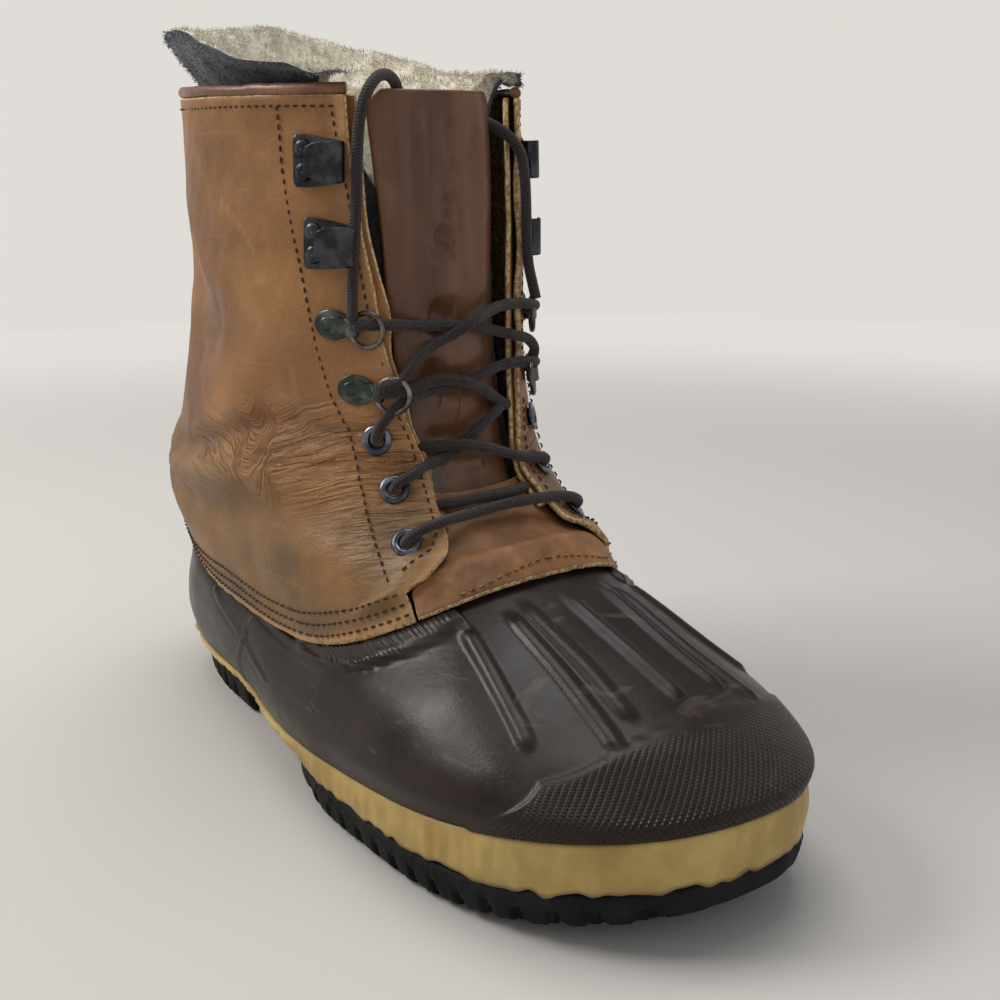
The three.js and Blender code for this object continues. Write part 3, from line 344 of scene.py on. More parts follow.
# Materials
class Shade:
    """Small helper over a material's node tree."""

    def __init__(self, name, rough=0.5, metal=0.0, **fixed):
        self.mat = bpy.data.materials.new(name)
        self.mat.use_nodes = True
        self.nodes = self.mat.node_tree.nodes
        self.links = self.mat.node_tree.links
        self.bsdf = self.nodes["Principled BSDF"]
        self.bsdf.inputs["Roughness"].default_value = rough
        self.bsdf.inputs["Metallic"].default_value = metal
        for key, value in fixed.items():
            self.bsdf.inputs[key.replace("_", " ")].default_value = value
        self.obj = self.nodes.new("ShaderNodeTexCoord").outputs["Object"]
        uv = self.nodes.new("ShaderNodeUVMap")
        uv.uv_map = "uv"
        self.uv = uv.outputs[0]

    def link(self, a, b):
        if isinstance(a, bpy.types.NodeSocket):
            self.links.new(a, b)
        else:
            b.default_value = a

    def noise(self, scale, detail=3.0, rough=0.55, vector=None, distortion=0.0, stretch=None):
        v = vector or self.obj
        if stretch:
            m = self.nodes.new("ShaderNodeMapping")
            m.inputs["Scale"].default_value = stretch
            self.link(v, m.inputs["Vector"])
            v = m.outputs[0]
        n = self.nodes.new("ShaderNodeTexNoise")
        values = {"Scale": scale, "Detail": detail, "Roughness": rough, "Distortion": distortion}
        for key, value in values.items():
            n.inputs[key].default_value = value
        self.link(v, n.inputs["Vector"])
        return n.outputs["Fac"]

    def cells(self, scale):
        n = self.nodes.new("ShaderNodeTexVoronoi")
        n.inputs["Scale"].default_value = scale
        self.link(self.obj, n.inputs["Vector"])
        return n.outputs["Distance"]

    def attr(self, name):
        a = self.nodes.new("ShaderNodeAttribute")
        a.attribute_name = name
        return a.outputs["Fac"]

    def math(self, op, a, b=0.0, c=0.0):
        m = self.nodes.new("ShaderNodeMath")
        m.operation = op
        for k, value in enumerate((a, b, c)):
            self.link(value, m.inputs[k])
        return m.outputs[0]

    def times(self, a, b):
        return self.math("MULTIPLY", a, b)

    def ramp(self, v, low, high, a=0.0, b=1.0):
        m = self.nodes.new("ShaderNodeMapRange")
        m.interpolation_type = "SMOOTHSTEP"
        self.link(v, m.inputs["Value"])
        for key, value in (("From Min", low), ("From Max", high), ("To Min", a), ("To Max", b)):
            m.inputs[key].default_value = value
        return m.outputs[0]

    def mix(self, fac, a, b):
        m = self.nodes.new("ShaderNodeMix")
        m.data_type = "RGBA"
        self.link(fac, m.inputs[0])
        for value, k in ((a, 6), (b, 7)):
            if isinstance(value, tuple):
                value = (*value, 1.0) if len(value) == 3 else value
            self.link(value, m.inputs[k])
        return m.outputs[2]

    def wave(self, length, pitch):
        """0..1 sine of a length in mm."""
        return self.math("MULTIPLY_ADD", self.math("SINE", self.times(length, 2 * math.pi / pitch)), 0.5, 0.5)

    def uv_axis(self, k):
        sep = self.nodes.new("ShaderNodeSeparateXYZ")
        self.link(self.uv, sep.inputs[0])
        return sep.outputs[k]

    def color(self, v):
        self.link(v, self.bsdf.inputs["Base Color"])

    def rough(self, v):
        self.link(v, self.bsdf.inputs["Roughness"])

    def bump(self, layers):
        """layers: (height socket, distance in metres)."""
        normal = None
        for h, distance in layers:
            b = self.nodes.new("ShaderNodeBump")
            b.inputs["Strength"].default_value = 1.0
            b.inputs["Distance"].default_value = distance
            self.link(h, b.inputs["Height"])
            if normal is not None:
                self.links.new(normal, b.inputs["Normal"])
            normal = b.outputs[0]
        self.links.new(normal, self.bsdf.inputs["Normal"])


def srgb(r, g, b):
    def one(v):
        v /= 255
        return v / 12.92 if v <= 0.04045 else ((v + 0.055) / 1.055) ** 2.4
    return (one(r), one(g), one(b))


def tan_leather(name):
    s = Shade(name, Specular_IOR_Level=0.36)
    mid = s.noise(38, 4, 0.6)
    folds = s.noise(0.16, 3, 0.55, vector=s.uv, stretch=(0.22, 2.2, 1.0), distortion=0.8)
    c = s.mix(s.ramp(s.noise(9, 4, 0.6), 0.36, 0.66), srgb(164, 116, 66), srgb(112, 74, 38))
    c = s.mix(s.times(s.ramp(mid, 0.5, 0.72), 0.3), c, srgb(172, 124, 80))
    # Patina darkens the leather; over the lower shaft the same darkening is painted shade of the light
    # falling off downwards
    worn = s.times(s.attr("patina_and_low_shade"), s.ramp(s.noise(26, 4, 0.6), 0.3, 0.6, 0.45, 1.0))
    c = s.mix(worn, c, srgb(86, 70, 44))
    c = s.mix(s.attr("shade"), c, srgb(92, 58, 34))
    c = s.mix(s.attr("light"), c, srgb(182, 140, 92))
    # Painted shade in the troughs of the fine folds, within the wrinkle areas
    c = s.mix(s.times(s.attr("wrinkle"), s.ramp(folds, 0.5, 0.36, 0, 0.4)), c, srgb(96, 62, 36))
    c = s.mix(s.times(s.ramp(s.noise(420, 3, 0.6), 0.42, 0.6), 0.10), c, srgb(90, 58, 36))
    scratch = s.ramp(s.noise(24, 2, 0.5, stretch=(1.0, 1.0, 14.0), distortion=0.6), 0.665, 0.70)
    s.color(s.mix(s.times(scratch, 0.10), c, srgb(190, 148, 104)))
    s.rough(s.ramp(mid, 0.3, 0.7, 0.42, 0.58))
    s.bump([(s.times(s.ramp(folds, 0.38, 0.62), s.attr("wrinkle")), 0.0016), (s.cells(900), 0.00010),
            (s.noise(1300, 2, 0.5), 0.00007), (s.noise(120, 3, 0.5), 0.0004)])
    return s.mat


def raw_leather(name):
    s = Shade(name, rough=0.9)
    s.color(s.mix(s.ramp(s.noise(600, 4, 0.7), 0.4, 0.62), srgb(208, 184, 136), srgb(140, 106, 66)))
    s.bump([(s.noise(900, 3, 0.6), 0.0005)])
    return s.mat


def brown_leather(name, light, dark, rough=0.40):
    s = Shade(name, Specular_IOR_Level=0.45)
    streak = s.noise(40, 4, 0.6, stretch=(1.0, 1.0, 0.12))
    c = s.mix(s.ramp(streak, 0.35, 0.65), srgb(*light), srgb(*dark))
    s.color(s.mix(s.times(s.ramp(s.noise(22, 3), 0.5, 0.7), 0.4), c, srgb(140, 98, 72)))
    s.rough(s.ramp(s.noise(60, 3), 0.3, 0.7, rough - 0.06, rough + 0.12))
    s.bump([(s.cells(700), 0.00008), (s.noise(240, 3, 0.6, stretch=(1, 1, 0.3)), 0.00022)])
    return s.mat


def rubber(name):
    s = Shade(name, Specular_IOR_Level=0.22)
    c = s.mix(s.ramp(s.noise(14, 5, 0.65), 0.42, 0.68), srgb(27, 20, 16), srgb(42, 32, 27))
    c = s.mix(s.times(s.attr("hatch"), 0.35), c, srgb(46, 36, 33))
    scuff = s.ramp(s.noise(30, 3, 0.6, stretch=(1, 1, 5), distortion=1.0), 0.62, 0.70)
    s.color(s.mix(s.times(scuff, 0.22), c, srgb(112, 97, 86)))
    s.rough(s.ramp(s.noise(28, 4, 0.6), 0.3, 0.7, 0.27, 0.44))
    # Crosshatch of the toe cap: two sets of fine ridges
    u, v = s.uv_axis(0), s.uv_axis(1)
    ridges = s.math("MINIMUM", *(s.wave(s.math(way, u, v), 2.3) for way in ("ADD", "SUBTRACT")))
    s.bump([(s.times(ridges, s.attr("hatch")), 0.0006), (s.noise(160, 3, 0.6), 0.00012),
            (s.noise(1100, 2, 0.5), 0.00004)])
    return s.mat


def cream(name):
    s = Shade(name, rough=0.5, Specular_IOR_Level=0.5)
    c = s.mix(s.ramp(s.noise(30, 4, 0.6), 0.35, 0.65), srgb(184, 158, 92), srgb(158, 130, 68))
    stain = s.ramp(s.noise(70, 4, 0.6, stretch=(1, 1, 0.2)), 0.55, 0.7)
    c = s.mix(s.times(stain, 0.5), c, srgb(148, 122, 74))
    s.color(s.mix(s.attr("grime"), c, srgb(104, 84, 54)))
    s.bump([(s.noise(150, 3, 0.6, stretch=(1, 1, 0.25)), 0.0005), (s.noise(800, 2), 0.00006)])
    return s.mat


def black_rubber(name):
    s = Shade(name, rough=0.7, Specular_IOR_Level=0.2)
    s.color(s.mix(s.ramp(s.noise(50, 4, 0.65), 0.4, 0.65), srgb(10, 11, 12), srgb(24, 25, 27)))
    s.bump([(s.noise(260, 4, 0.6), 0.0003), (s.noise(1200, 2), 0.00008)])
    return s.mat


def felt(name, light, dark):
    s = Shade(name, rough=1.0, Sheen_Weight=0.35, Sheen_Roughness=0.5)
    s.color(s.mix(s.ramp(s.noise(160, 5, 0.7), 0.38, 0.62), srgb(*light), srgb(*dark)))
    s.bump([(s.noise(70, 4, 0.6), 0.0016), (s.noise(500, 4, 0.7), 0.0007)])
    return s.mat


def metal(name, dark=(36, 39, 43), light=(66, 69, 72)):
    s = Shade(name, metal=0.85, Specular_IOR_Level=0.6)
    s.color(s.mix(s.ramp(s.noise(120, 3, 0.6), 0.4, 0.65), srgb(*dark), srgb(*light)))
    s.rough(s.ramp(s.noise(200, 3), 0.3, 0.7, 0.2, 0.42))
    s.bump([(s.noise(300, 2), 0.00008)])
    return s.mat


def lace_cloth(name):
    s = Shade(name, rough=0.85, Sheen_Weight=0.15)
    across, along = s.times(s.uv_axis(0), 0.44), s.uv_axis(1)
    braid = s.math("MAXIMUM", *(s.wave(s.math(way, across, along), 1.1) for way in ("ADD", "SUBTRACT")))
    s.color(s.mix(braid, srgb(14, 8, 9), srgb(42, 26, 25)))
    s.bump([(braid, 0.0004), (s.noise(900, 3), 0.00015)])
    return s.mat


def thread(name, color=(70, 40, 28)):
    s = Shade(name, rough=0.8)
    s.color(s.mix(s.ramp(s.noise(500, 2), 0.4, 0.6), srgb(*color), srgb(*(int(v * 0.6) for v in color))))
    s.bump([(s.noise(1500, 2), 0.0001)])
    return s.mat


MAT = {
    "tan": tan_leather("tan leather"),
    "tan_inside": raw_leather("leather flesh side"),
    "raw": raw_leather("raw leather edge"),
    "brown": brown_leather("brown leather", (106, 68, 44), (72, 44, 28), 0.34),
    "vamp": brown_leather("vamp leather", (150, 104, 62), (108, 72, 42), 0.62),
    "piping": brown_leather("brown piping", (134, 92, 66), (92, 58, 40)),
    "rubber": rubber("brown rubber"),
    "cream": cream("cream rubber"),
    "black": black_rubber("black rubber"),
    "felt": felt("navy felt", (20, 22, 34), (48, 50, 62)),
    "fleece": felt("cream fleece", (214, 208, 190), (184, 176, 156)),
    "fleece_edge": felt("fleece edge", (206, 198, 178), (120, 112, 100)),
    "felt_hair": felt("navy fibres", (40, 42, 56), (92, 94, 104)),
    "metal": metal("gunmetal"),
    "clip": metal("green gunmetal", (52, 60, 56), (92, 98, 90)),
    "eyelet": metal("worn blue steel", (58, 62, 72), (120, 124, 136)),
    "wire": metal("steel wire", (84, 80, 78), (140, 134, 128)),
    "lace": lace_cloth("braided lace"),
    "thread": thread("brown thread"),
    "thread_light": thread("light thread", (150, 112, 70)),
}


def rest(o, slot, *nodes):
    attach(o, "root")
    if nodes:
        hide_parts(*nodes)
    return o


# Sole
LOW_SHARE = 0.33
ARCH = (86, 90, 152, 160)
FOREPART = (152, 190)


def clamp01(v):
    return np.clip(v, 0, 1)


def band_top(x):
    share = clamp01(x / LENGTH)
    back, side, front = BAND_H
    return np.where(share < LOW_SHARE, mix(side, back, (1 - share / LOW_SHARE) ** 2),
                    mix(side, front, np.maximum((share - LOW_SHARE) / (1 - LOW_SHARE), 0) ** 2))


def band_thick(x):
    share = clamp01(x / LENGTH)
    back, waist, toe = 4.5, 7.0, 17.0
    rear = mix(back, waist, smooth(0, 0.5, share))
    return np.where(share < 0.5, rear, mix(waist, toe, smooth(0.4, 0.9, share)))


def band_low(x):
    return band_top(x) - band_thick(x)


def floor_top(x):
    return band_low(x) + BAND_FLOOR


def insole_top(x):
    return floor_top(x) + GAP + INSOLE_THICKNESS


def arch_share(x):
    return smooth(*ARCH[:2], x) * (1 - smooth(*ARCH[2:], x))


def fore_share(x):
    return smooth(*FOREPART, x)


def tread_low(x):
    return 9 * arch_share(x) + 14 * clamp01((x - 236) / 94) ** 2


def plan_inset(turn, inset, z):
    """Ring of the sole's outline, moved in along its own plan normal."""
    turn = np.asarray(turn, float)
    p = last_point(0.0, turn)
    along = last_point(0.0, turn + 0.003) - last_point(0.0, turn - 0.003)
    n = np.stack([along[..., 1], -along[..., 0]], -1)
    n /= np.linalg.norm(n, axis=-1, keepdims=True)
    d = inset(p[..., 0]) if callable(inset) else inset
    xy = p[..., :2] - n * np.asarray(d)[..., None]
    return np.concatenate([xy, z(xy[..., 0])[..., None]], -1)


def sole_turns(stations):
    """Turns of the outline at stations from heel to toe on the outer side, then back on the inner side."""
    dense = np.linspace(0, 0.5, 4001)
    out_x = np.maximum.accumulate(last_point(0.0, dense)[:, 0])
    in_x = np.maximum.accumulate(last_point(0.0, 1 - dense)[:, 0])
    outer = np.interp(stations, out_x, dense)
    inner = 1 - np.interp(stations[1:-1], in_x, dense)
    return np.concatenate([outer, inner[::-1]])


def ladder(base, count):
    """Quads across a closed ring of count points, between its two sides."""
    faces = []
    for k in range(count // 2):
        quad = [base + k, base + k + 1, base + (count - k - 1) % count, base + (count - k) % count]
        faces.append(list(dict.fromkeys(quad)))
    return faces


def stacked(name, rings, mat, attrs=None):
    """Solid from closed rings, each a (count, 3) array: first and last are closed by ladders."""
    stack = np.array(rings)
    rows, cols = stack.shape[:2]
    faces = grid_faces(rows, cols).tolist()
    faces += [f[::-1] for f in ladder(0, cols)] + ladder((rows - 1) * cols, cols)
    return new_mesh(name, stack.reshape(-1, 3), faces, measured(stack).reshape(-1, 2), [mat], None, attrs)


LUG_PITCH = 10.5
grooves = np.array([LUG_PITCH * n for n in range(1, 8)] + [ARCH[3] + LUG_PITCH * n for n in range(1, 16)])
edges = np.concatenate([grooves - 1.9, grooves - 1.5, grooves + 1.5, grooves + 1.9])
even = LENGTH * (1 - np.cos(np.linspace(0, np.pi, 261))) / 2
even = even[np.min(np.abs(even[:, None] - edges[None]), axis=1) > 0.35]
STATIONS = np.unique(np.concatenate([even, edges, ARCH]))
TURNS = sole_turns(STATIONS)
RING_X = last_point(0.0, TURNS)[:, 0]


def groove(x):
    d = np.min(np.abs(np.asarray(x)[..., None] - grooves), axis=-1)
    return 1 - smooth(1.4, 1.95, d)


def tread_side(x):
    return 14 * arch_share(x) + 5 * (1 - fore_share(x)) * (1 - arch_share(x))


def sole_top(x):
    return band_low(x) - GAP


# Rings of the tread, from the ground up: inset in mm, share of the height, depth of the grooves
rings = []
for inset, share, cut in ((6.5, 0.0, 1), (4.3, 0.0, 1), (2.6, 0.08, 1), (1.2, 0.22, 0.9), (0.4, 0.4, 0.7),
                          (0.0, 0.55, 0.3), (-0.5, 0.7, 0.0), (-0.3, 0.85, 0.0), (0.0, 1.0, 0.0)):
    def z(x, share=share, cut=cut):
        low, top = tread_low(x), sole_top(x)
        return mix(low, top, share) + 4.0 * groove(x) * cut * (1 - arch_share(x)) * (share < 0.5)

    def d(x, inset=inset, cut=cut):
        wobble = 0.35 * np.sin(x * 1.7) * np.sin(x * 0.61)
        side = tread_side(x) + np.where(inset > 0, inset, inset * fore_share(x))
        return side + 1.5 * groove(x) * cut + wobble
    rings.append(plan_inset(TURNS, d, z))
rest(stacked("outsole", rings, MAT["black"]), "black_rubber", "outsole")

# Pale band, with uneven ripples and a ragged lower edge
band_rings, grime = [], []
noise_ring = last_point(0.0, TURNS)
ripple = waves(noise_ring, 12, 3) * 0.8 + waves(noise_ring, 6, 4) * 0.7
rag = waves(noise_ring, 8, 5) * 1.6
for share in np.linspace(0, 1, 12):
    def z(x, share=share):
        return mix(band_low(x), band_top(x), share)
    undercut = 4 * (1 - smooth(126, 196, RING_X)) * (1 - smooth(0.0, 0.75, share)) - BAND_PROUD
    body = np.sin(np.pi * np.clip(share, 0.02, 0.98)) ** 0.6
    ring = plan_inset(TURNS, undercut - 0.55 * ripple * body - 0.35 * body + 0.5 * (1 - body), z)
    ring[:, 2] += np.where(share < 0.3, 0.55 * rag * (1 - share / 0.3) * fore_share(RING_X), 0)
    band_rings.append(ring)
    dirt = 0.8 * (1 - smooth(0.0, 0.12, share)) + 0.35 * smooth(0.93, 1, share)
    grime.append(np.full(len(ring), float(dirt)))
for inset, z in ((1.2, band_top), (BAND_WALL, lambda x: band_top(x) - 0.3),
                 (BAND_WALL, lambda x: floor_top(x) + 1), (BAND_WALL + 0.5, floor_top)):
    band_rings.append(plan_inset(TURNS, inset, z))
    grime.append(np.full(len(TURNS), 0.5))
rest(stacked("foxing", band_rings, MAT["cream"], {"grime": np.array(grime)}), "cream_rubber", "foxing")

insole_turns = sole_turns(LENGTH * (1 - np.cos(np.linspace(0, np.pi, 81))) / 2)
insole_inset = BAND_WALL + 2 * GAP + RUBBER_WALL
rings = [plan_inset(insole_turns, insole_inset + more, z) for more, z in (
    (0, lambda x: floor_top(x) + GAP), (0, lambda x: insole_top(x) - 0.8), (0.8, insole_top))]
rest(stacked("insole", rings, MAT["fleece"]), "insole_felt", "insole")


# Rubber bottom
def on_last(places, out=0.0, count=60):
    """Smooth path on the last through (level, turn) places, in mm."""
    p = np.asarray(places, float)
    s = np.linspace(0, len(p) - 1, count)
    k = np.arange(len(p))
    return skin(np.interp(s, k, p[:, 0]), np.interp(s, k, p[:, 1]), np.full(count, float(out)))


# Toe cap's edge, ribs and seams as (level, turn), rim strip's lower edge as (turn, level)
CAP_EDGE = [(0.0, 0.3), (0.59, 0.3155), (2.51, 0.3675), (3.1, 0.431), (3.23, 0.462), (3.34, 0.5)]
STRIP_LOW = [(0.240, 4.26), (0.249, 4.28), (0.3085, 4.56), (0.367, 4.68), (0.4110, 4.78)]
RIBS = [[(4.64, 0.4035), (4.10, 0.3925), (3.30, 0.379)], [(4.62, 0.4475), (4.05, 0.4435), (3.15, 0.434)],
        [(4.68, 0.4645), (4.10, 0.464), (3.55, 0.4595)], [(4.68, 0.4995), (4.10, 0.4995), (3.60, 0.4995)],
        [(4.68, 0.5355), (4.10, 0.536), (3.55, 0.5405)], [(4.62, 0.5525), (4.05, 0.5565), (3.15, 0.566)],
        [(4.64, 0.5965), (4.10, 0.6075), (3.30, 0.621)]]
SEAMS = [[(3.98, 0.163), (1.76, 0.211)], [(5.3, 0.21), (0.25, 0.1765)],
         [(5.05, 0.208), (4.57, 0.2345), (4.24, 0.248)]]


def half_turn(turn):
    t = np.asarray(turn) % 1.0
    return np.minimum(t, 1 - t)


def shell_relief(level, turn, p):
    """Height of the rubber's raised parts over the last, and where its crosshatch lies."""
    t = half_turn(turn)
    other_half = [(l, 1 - u) for l, u in CAP_EDGE[::-1]]
    edge = np.concatenate([on_last(CAP_EDGE, 0, 160), on_last(other_half, 0, 160)])
    d, _ = near_path(p, edge, 14.0)
    inside = (t > np.interp(level, [l for l, _ in CAP_EDGE], [u for _, u in CAP_EDGE])) & (level < 3.34)
    out = np.where(inside, 0.9 * smooth(0.0, 1.4, d), 0.0)
    hatch = np.where(inside, smooth(2.0, 5.0, d), 0.0) * (1 - smooth(2.55, 3.15, level))
    low = np.interp(t, [u for u, _ in STRIP_LOW], [v for _, v in STRIP_LOW])
    strip = smooth(low - 0.03, low + 0.04, level) * (1 - smooth(4.93, 5.0, level))
    strip *= smooth(0.238, 0.242, t) * (1 - smooth(0.4105, 0.4125, t))
    along = t * 760
    bead = smooth(low - 0.02, low + 0.02, level) * (1 - smooth(low + 0.07, low + 0.11, level))
    teeth = 0.16 * np.sign(np.sin(along * 2 * np.pi / 4.2)) * (1 - bead) * (1 - smooth(0.40, 0.405, t))
    out += strip * (1.9 + 0.5 * bead + teeth)
    for rib in RIBS:
        d, _ = near_path(p, on_last(rib, 0, 24), 5.0)
        out = np.maximum(out, 1.5 * (1 - smooth(0.6, 4.2, d)))
    for seam in SEAMS:
        for s in (seam, [(l, 1 - u) for l, u in seam]):
            d, _ = near_path(p, on_last(s, 0, 30), 4.0)
            out += 0.55 * (1 - smooth(0.6, 2.0, d)) - 0.2 * smooth(1.4, 2.2, d) * (1 - smooth(2.6, 4.0, d))
    return out, hatch


def shell():
    foot = BAND_WALL + GAP
    cols = 600
    turn = np.arange(cols) / cols
    # Closer columns round the toe
    turn = (turn + 0.035 / (2 * np.pi) * np.sin(2 * np.pi * turn)) % 1.0
    level, turns = np.meshgrid(np.concatenate([[0.04], np.linspace(0.15, 5.35, 76)]), turn, indexing="ij")
    base = last_point(level, turns)
    out, hatch = shell_relief(level, turns, base)
    out = out + 0.3 * waves(base, 60, 11) * smooth(0.4, 1.2, level) * (1 - smooth(4.6, 5.0, level))
    grid = skin(level, turns, out)
    grid[0] = plan_inset(turn, 0.0, lambda x: band_top(x) + GAP)
    low, high = (lambda x: floor_top(x) + GAP), (lambda x: band_top(x) + GAP)
    outer = np.concatenate([[plan_inset(turn, foot, z) for z in (low, high)], grid])
    level, turns = np.meshgrid(np.array([0.5, 1.1, 1.8, 2.6, 3.4, 4.2, 5, 5.35]), turn, indexing="ij")
    inner = skin(level, turns, -RUBBER_WALL - foot * (1 - smooth(0.3, 1.2, level)))
    inner = np.concatenate([[plan_inset(turn, foot + RUBBER_WALL, z) for z in (low, band_top, high)], inner])
    stack = np.concatenate([outer, inner[::-1]])
    uv = np.concatenate([measured(outer), measured(inner)[::-1]])
    hatch = np.concatenate([np.zeros((2, cols)), hatch, np.zeros(inner.shape[:2])])
    return new_mesh("rubber shell", stack.reshape(-1, 3), ring_faces(*stack.shape[:2]), uv.reshape(-1, 2),
                    [MAT["rubber"]], None, {"hatch": hatch})


rest(shell(), "brown_rubber", "rubber_shell")

# Leather. THROAT holds (level, turn) of the shaft's front edge
THROAT = np.array([[5, .372], [5.3, .378], [5.38, .405], [5.65, .428], [6.2, .441], [6.8, .446], [7.8, .449],
                   [8.15, .446], [8.6, .431], [9, .420], [9.3, .412], [9.6, .407], [9.9, .399], [10.35, .393],
                   [11, .3935]])
COLLAR_LEVEL = 10.93
SOFT_LEVELS = np.linspace(5, 11, 241)
soft_throat = np.interp(SOFT_LEVELS, THROAT[:, 0], THROAT[:, 1])
for _ in range(3):
    wide = np.pad(soft_throat, 2, mode="edge")
    soft_throat = sum(wide[k:k + len(SOFT_LEVELS)] for k in range(5)) / 5


def throat(level):
    """Turn of the shaft's front edge: wavy where it's cut, round at the lower corner."""
    sharp = np.interp(level, THROAT[:, 0], THROAT[:, 1])
    even_edge = np.interp(level, SOFT_LEVELS, soft_throat)
    return np.where(level < 5.5, sharp, even_edge)


def lap(level, turn):
    t = half_turn(turn)
    edge = np.interp(level, THROAT[:, 0], THROAT[:, 1])
    near = smooth(edge - 0.07, edge - 0.03, t)
    return (LEATHER_WALL + GAP) * near * smooth(5.15, 5.34, level) * (1 - smooth(5.7, 6.2, level))


CREASE_DEPTH = 1.5
# Creases of the shaft: (level, turn) places, half width in mm, height as a share of CREASE_DEPTH
# (below 0 is a trough)
CREASES = [
    ([(9.75, .1300), (9.45, .1650), (9.25, .2050), (9.2, .2500)], 15, -2.6),
    ([(6.15, .0900), (6.20, .1400), (6.30, .1750), (6.30, .2050)], 5, -2.4),
    ([(6.6, .100), (6.73, .1435), (7.486, .2109), (7.883, .2516), (8.186, .2897), (8.258, .3226),
      (8.30, .3486)], 6.5, -3.0),
    ([(8.26, .2727), (8.586, .3055), (8.737, .3336)], 13, -1.7),
    ([(8.45, .2000), (8.70, .2500), (8.95, .3000)], 11, 1.0),
    ([(6.40, .1139), (6.60, .1607), (7.00, .2000), (7.25, .2383), (7.40, .2756), (7.45, .3172)], 10, 2.6),
    ([(7.00, .2383), (6.95, .2788), (6.95, .3202), (7.0, .3582)], 12, -0.8),
    ([(7.35, .2039), (7.55, .2427), (7.68, .2714)], 1.6, -0.55),
    ([(7.48, .2422), (7.60, .2746), (7.69, .3132)], 1.5, -0.5),
    ([(7.691, .2667), (7.857, .311), (7.968, .3459)], 1.6, -0.6),
    ([(7.66, .2965), (7.81, .3334), (7.995, .3775)], 1.5, -0.55),
    ([(7.74, .300), (7.90, .336), (8.05, .372)], 1.3, 0.35),
    ([(8.244, .3446), (8.391, .3735), (8.43, .4004), (8.39, .4200)], 1.9, -0.7),
    ([(8.32, .3500), (8.33, .3735), (8.34, .3920)], 1.4, -0.5),
    ([(8.164, .3547), (8.254, .3861), (8.243, .4127)], 1.6, -0.6),
    ([(8.11, .3560), (8.15, .3861), (8.16, .4200)], 1.4, -0.45),
    ([(8.056, .3573), (8.04, .3846), (8.076, .4284)], 1.5, -0.5),
    ([(7.886, .3697), (7.906, .3969), (7.96, .4242)], 1.5, -0.45),
    ([(7.97, .2600), (8.06, .2900), (8.12, .3200)], 1.3, -0.35),
    ([(7.50, .3300), (7.58, .3600)], 1.4, -0.35),
    ([(7.10, .3900), (7.16, .4250)], 1.4, -0.35),
    ([(6.85, .3880), (6.88, .4250)], 1.3, -0.3),
    ([(9.9, .1700), (9.2, .1850), (8.5, .1950)], 16, -0.9),
    ([(6.35, .2400), (6.2, .3000), (6.2, .3500)], 10, 0.7),
    ([(9.30, .3200), (9.22, .3600)], 1.2, -0.3),
    ([(9.60, .3500), (9.50, .3750)], 1.1, -0.3),
]
INNER_CREASES = [
    ([(6.8, .880), (7.4, .800), (7.9, .740), (8.2, .700), (8.3, .650)], 7, -2.0),
    ([(8.3, .730), (8.6, .690), (8.7, .660)], 13, -1.0),
    ([(6.5, .880), (6.9, .800), (7.2, .740), (7.3, .690)], 11, 1.4),
    ([(7.5, .760), (7.7, .720), (7.8, .690)], 1.7, -0.6),
    ([(7.7, .740), (7.9, .690), (8.0, .640)], 1.7, -0.6),
    ([(8.2, .650), (8.35, .620), (8.38, .590)], 1.8, -0.6),
    ([(8.05, .640), (8.1, .600)], 1.5, -0.5),
]


def crease_field(p, rows, out=LEATHER_OUT):
    total = np.zeros(p.shape[:-1])
    for places, width, height in rows:
        d, at = near_path(p, on_last(places, out, 26), width * 2.2)
        fade = np.where(d < width * 2.2, 0.25 + 0.75 * smooth(0, 0.18, at) * (1 - smooth(0.82, 1, at)), 0)
        total += CREASE_DEPTH * height * np.exp(-(d / width) ** 2 * 1.4) * fade
    return total


def blots(p, rows, count=30):
    """Soft marks along paths: rows of (level, turn) places, width in mm and force."""
    total = np.zeros(p.shape[:-1])
    for places, width, force in rows:
        d, _ = near_path(p, on_last(places, LEATHER_OUT, count), width * 2)
        total = np.maximum(total, force * np.exp(-(d / width) ** 2))
    return total


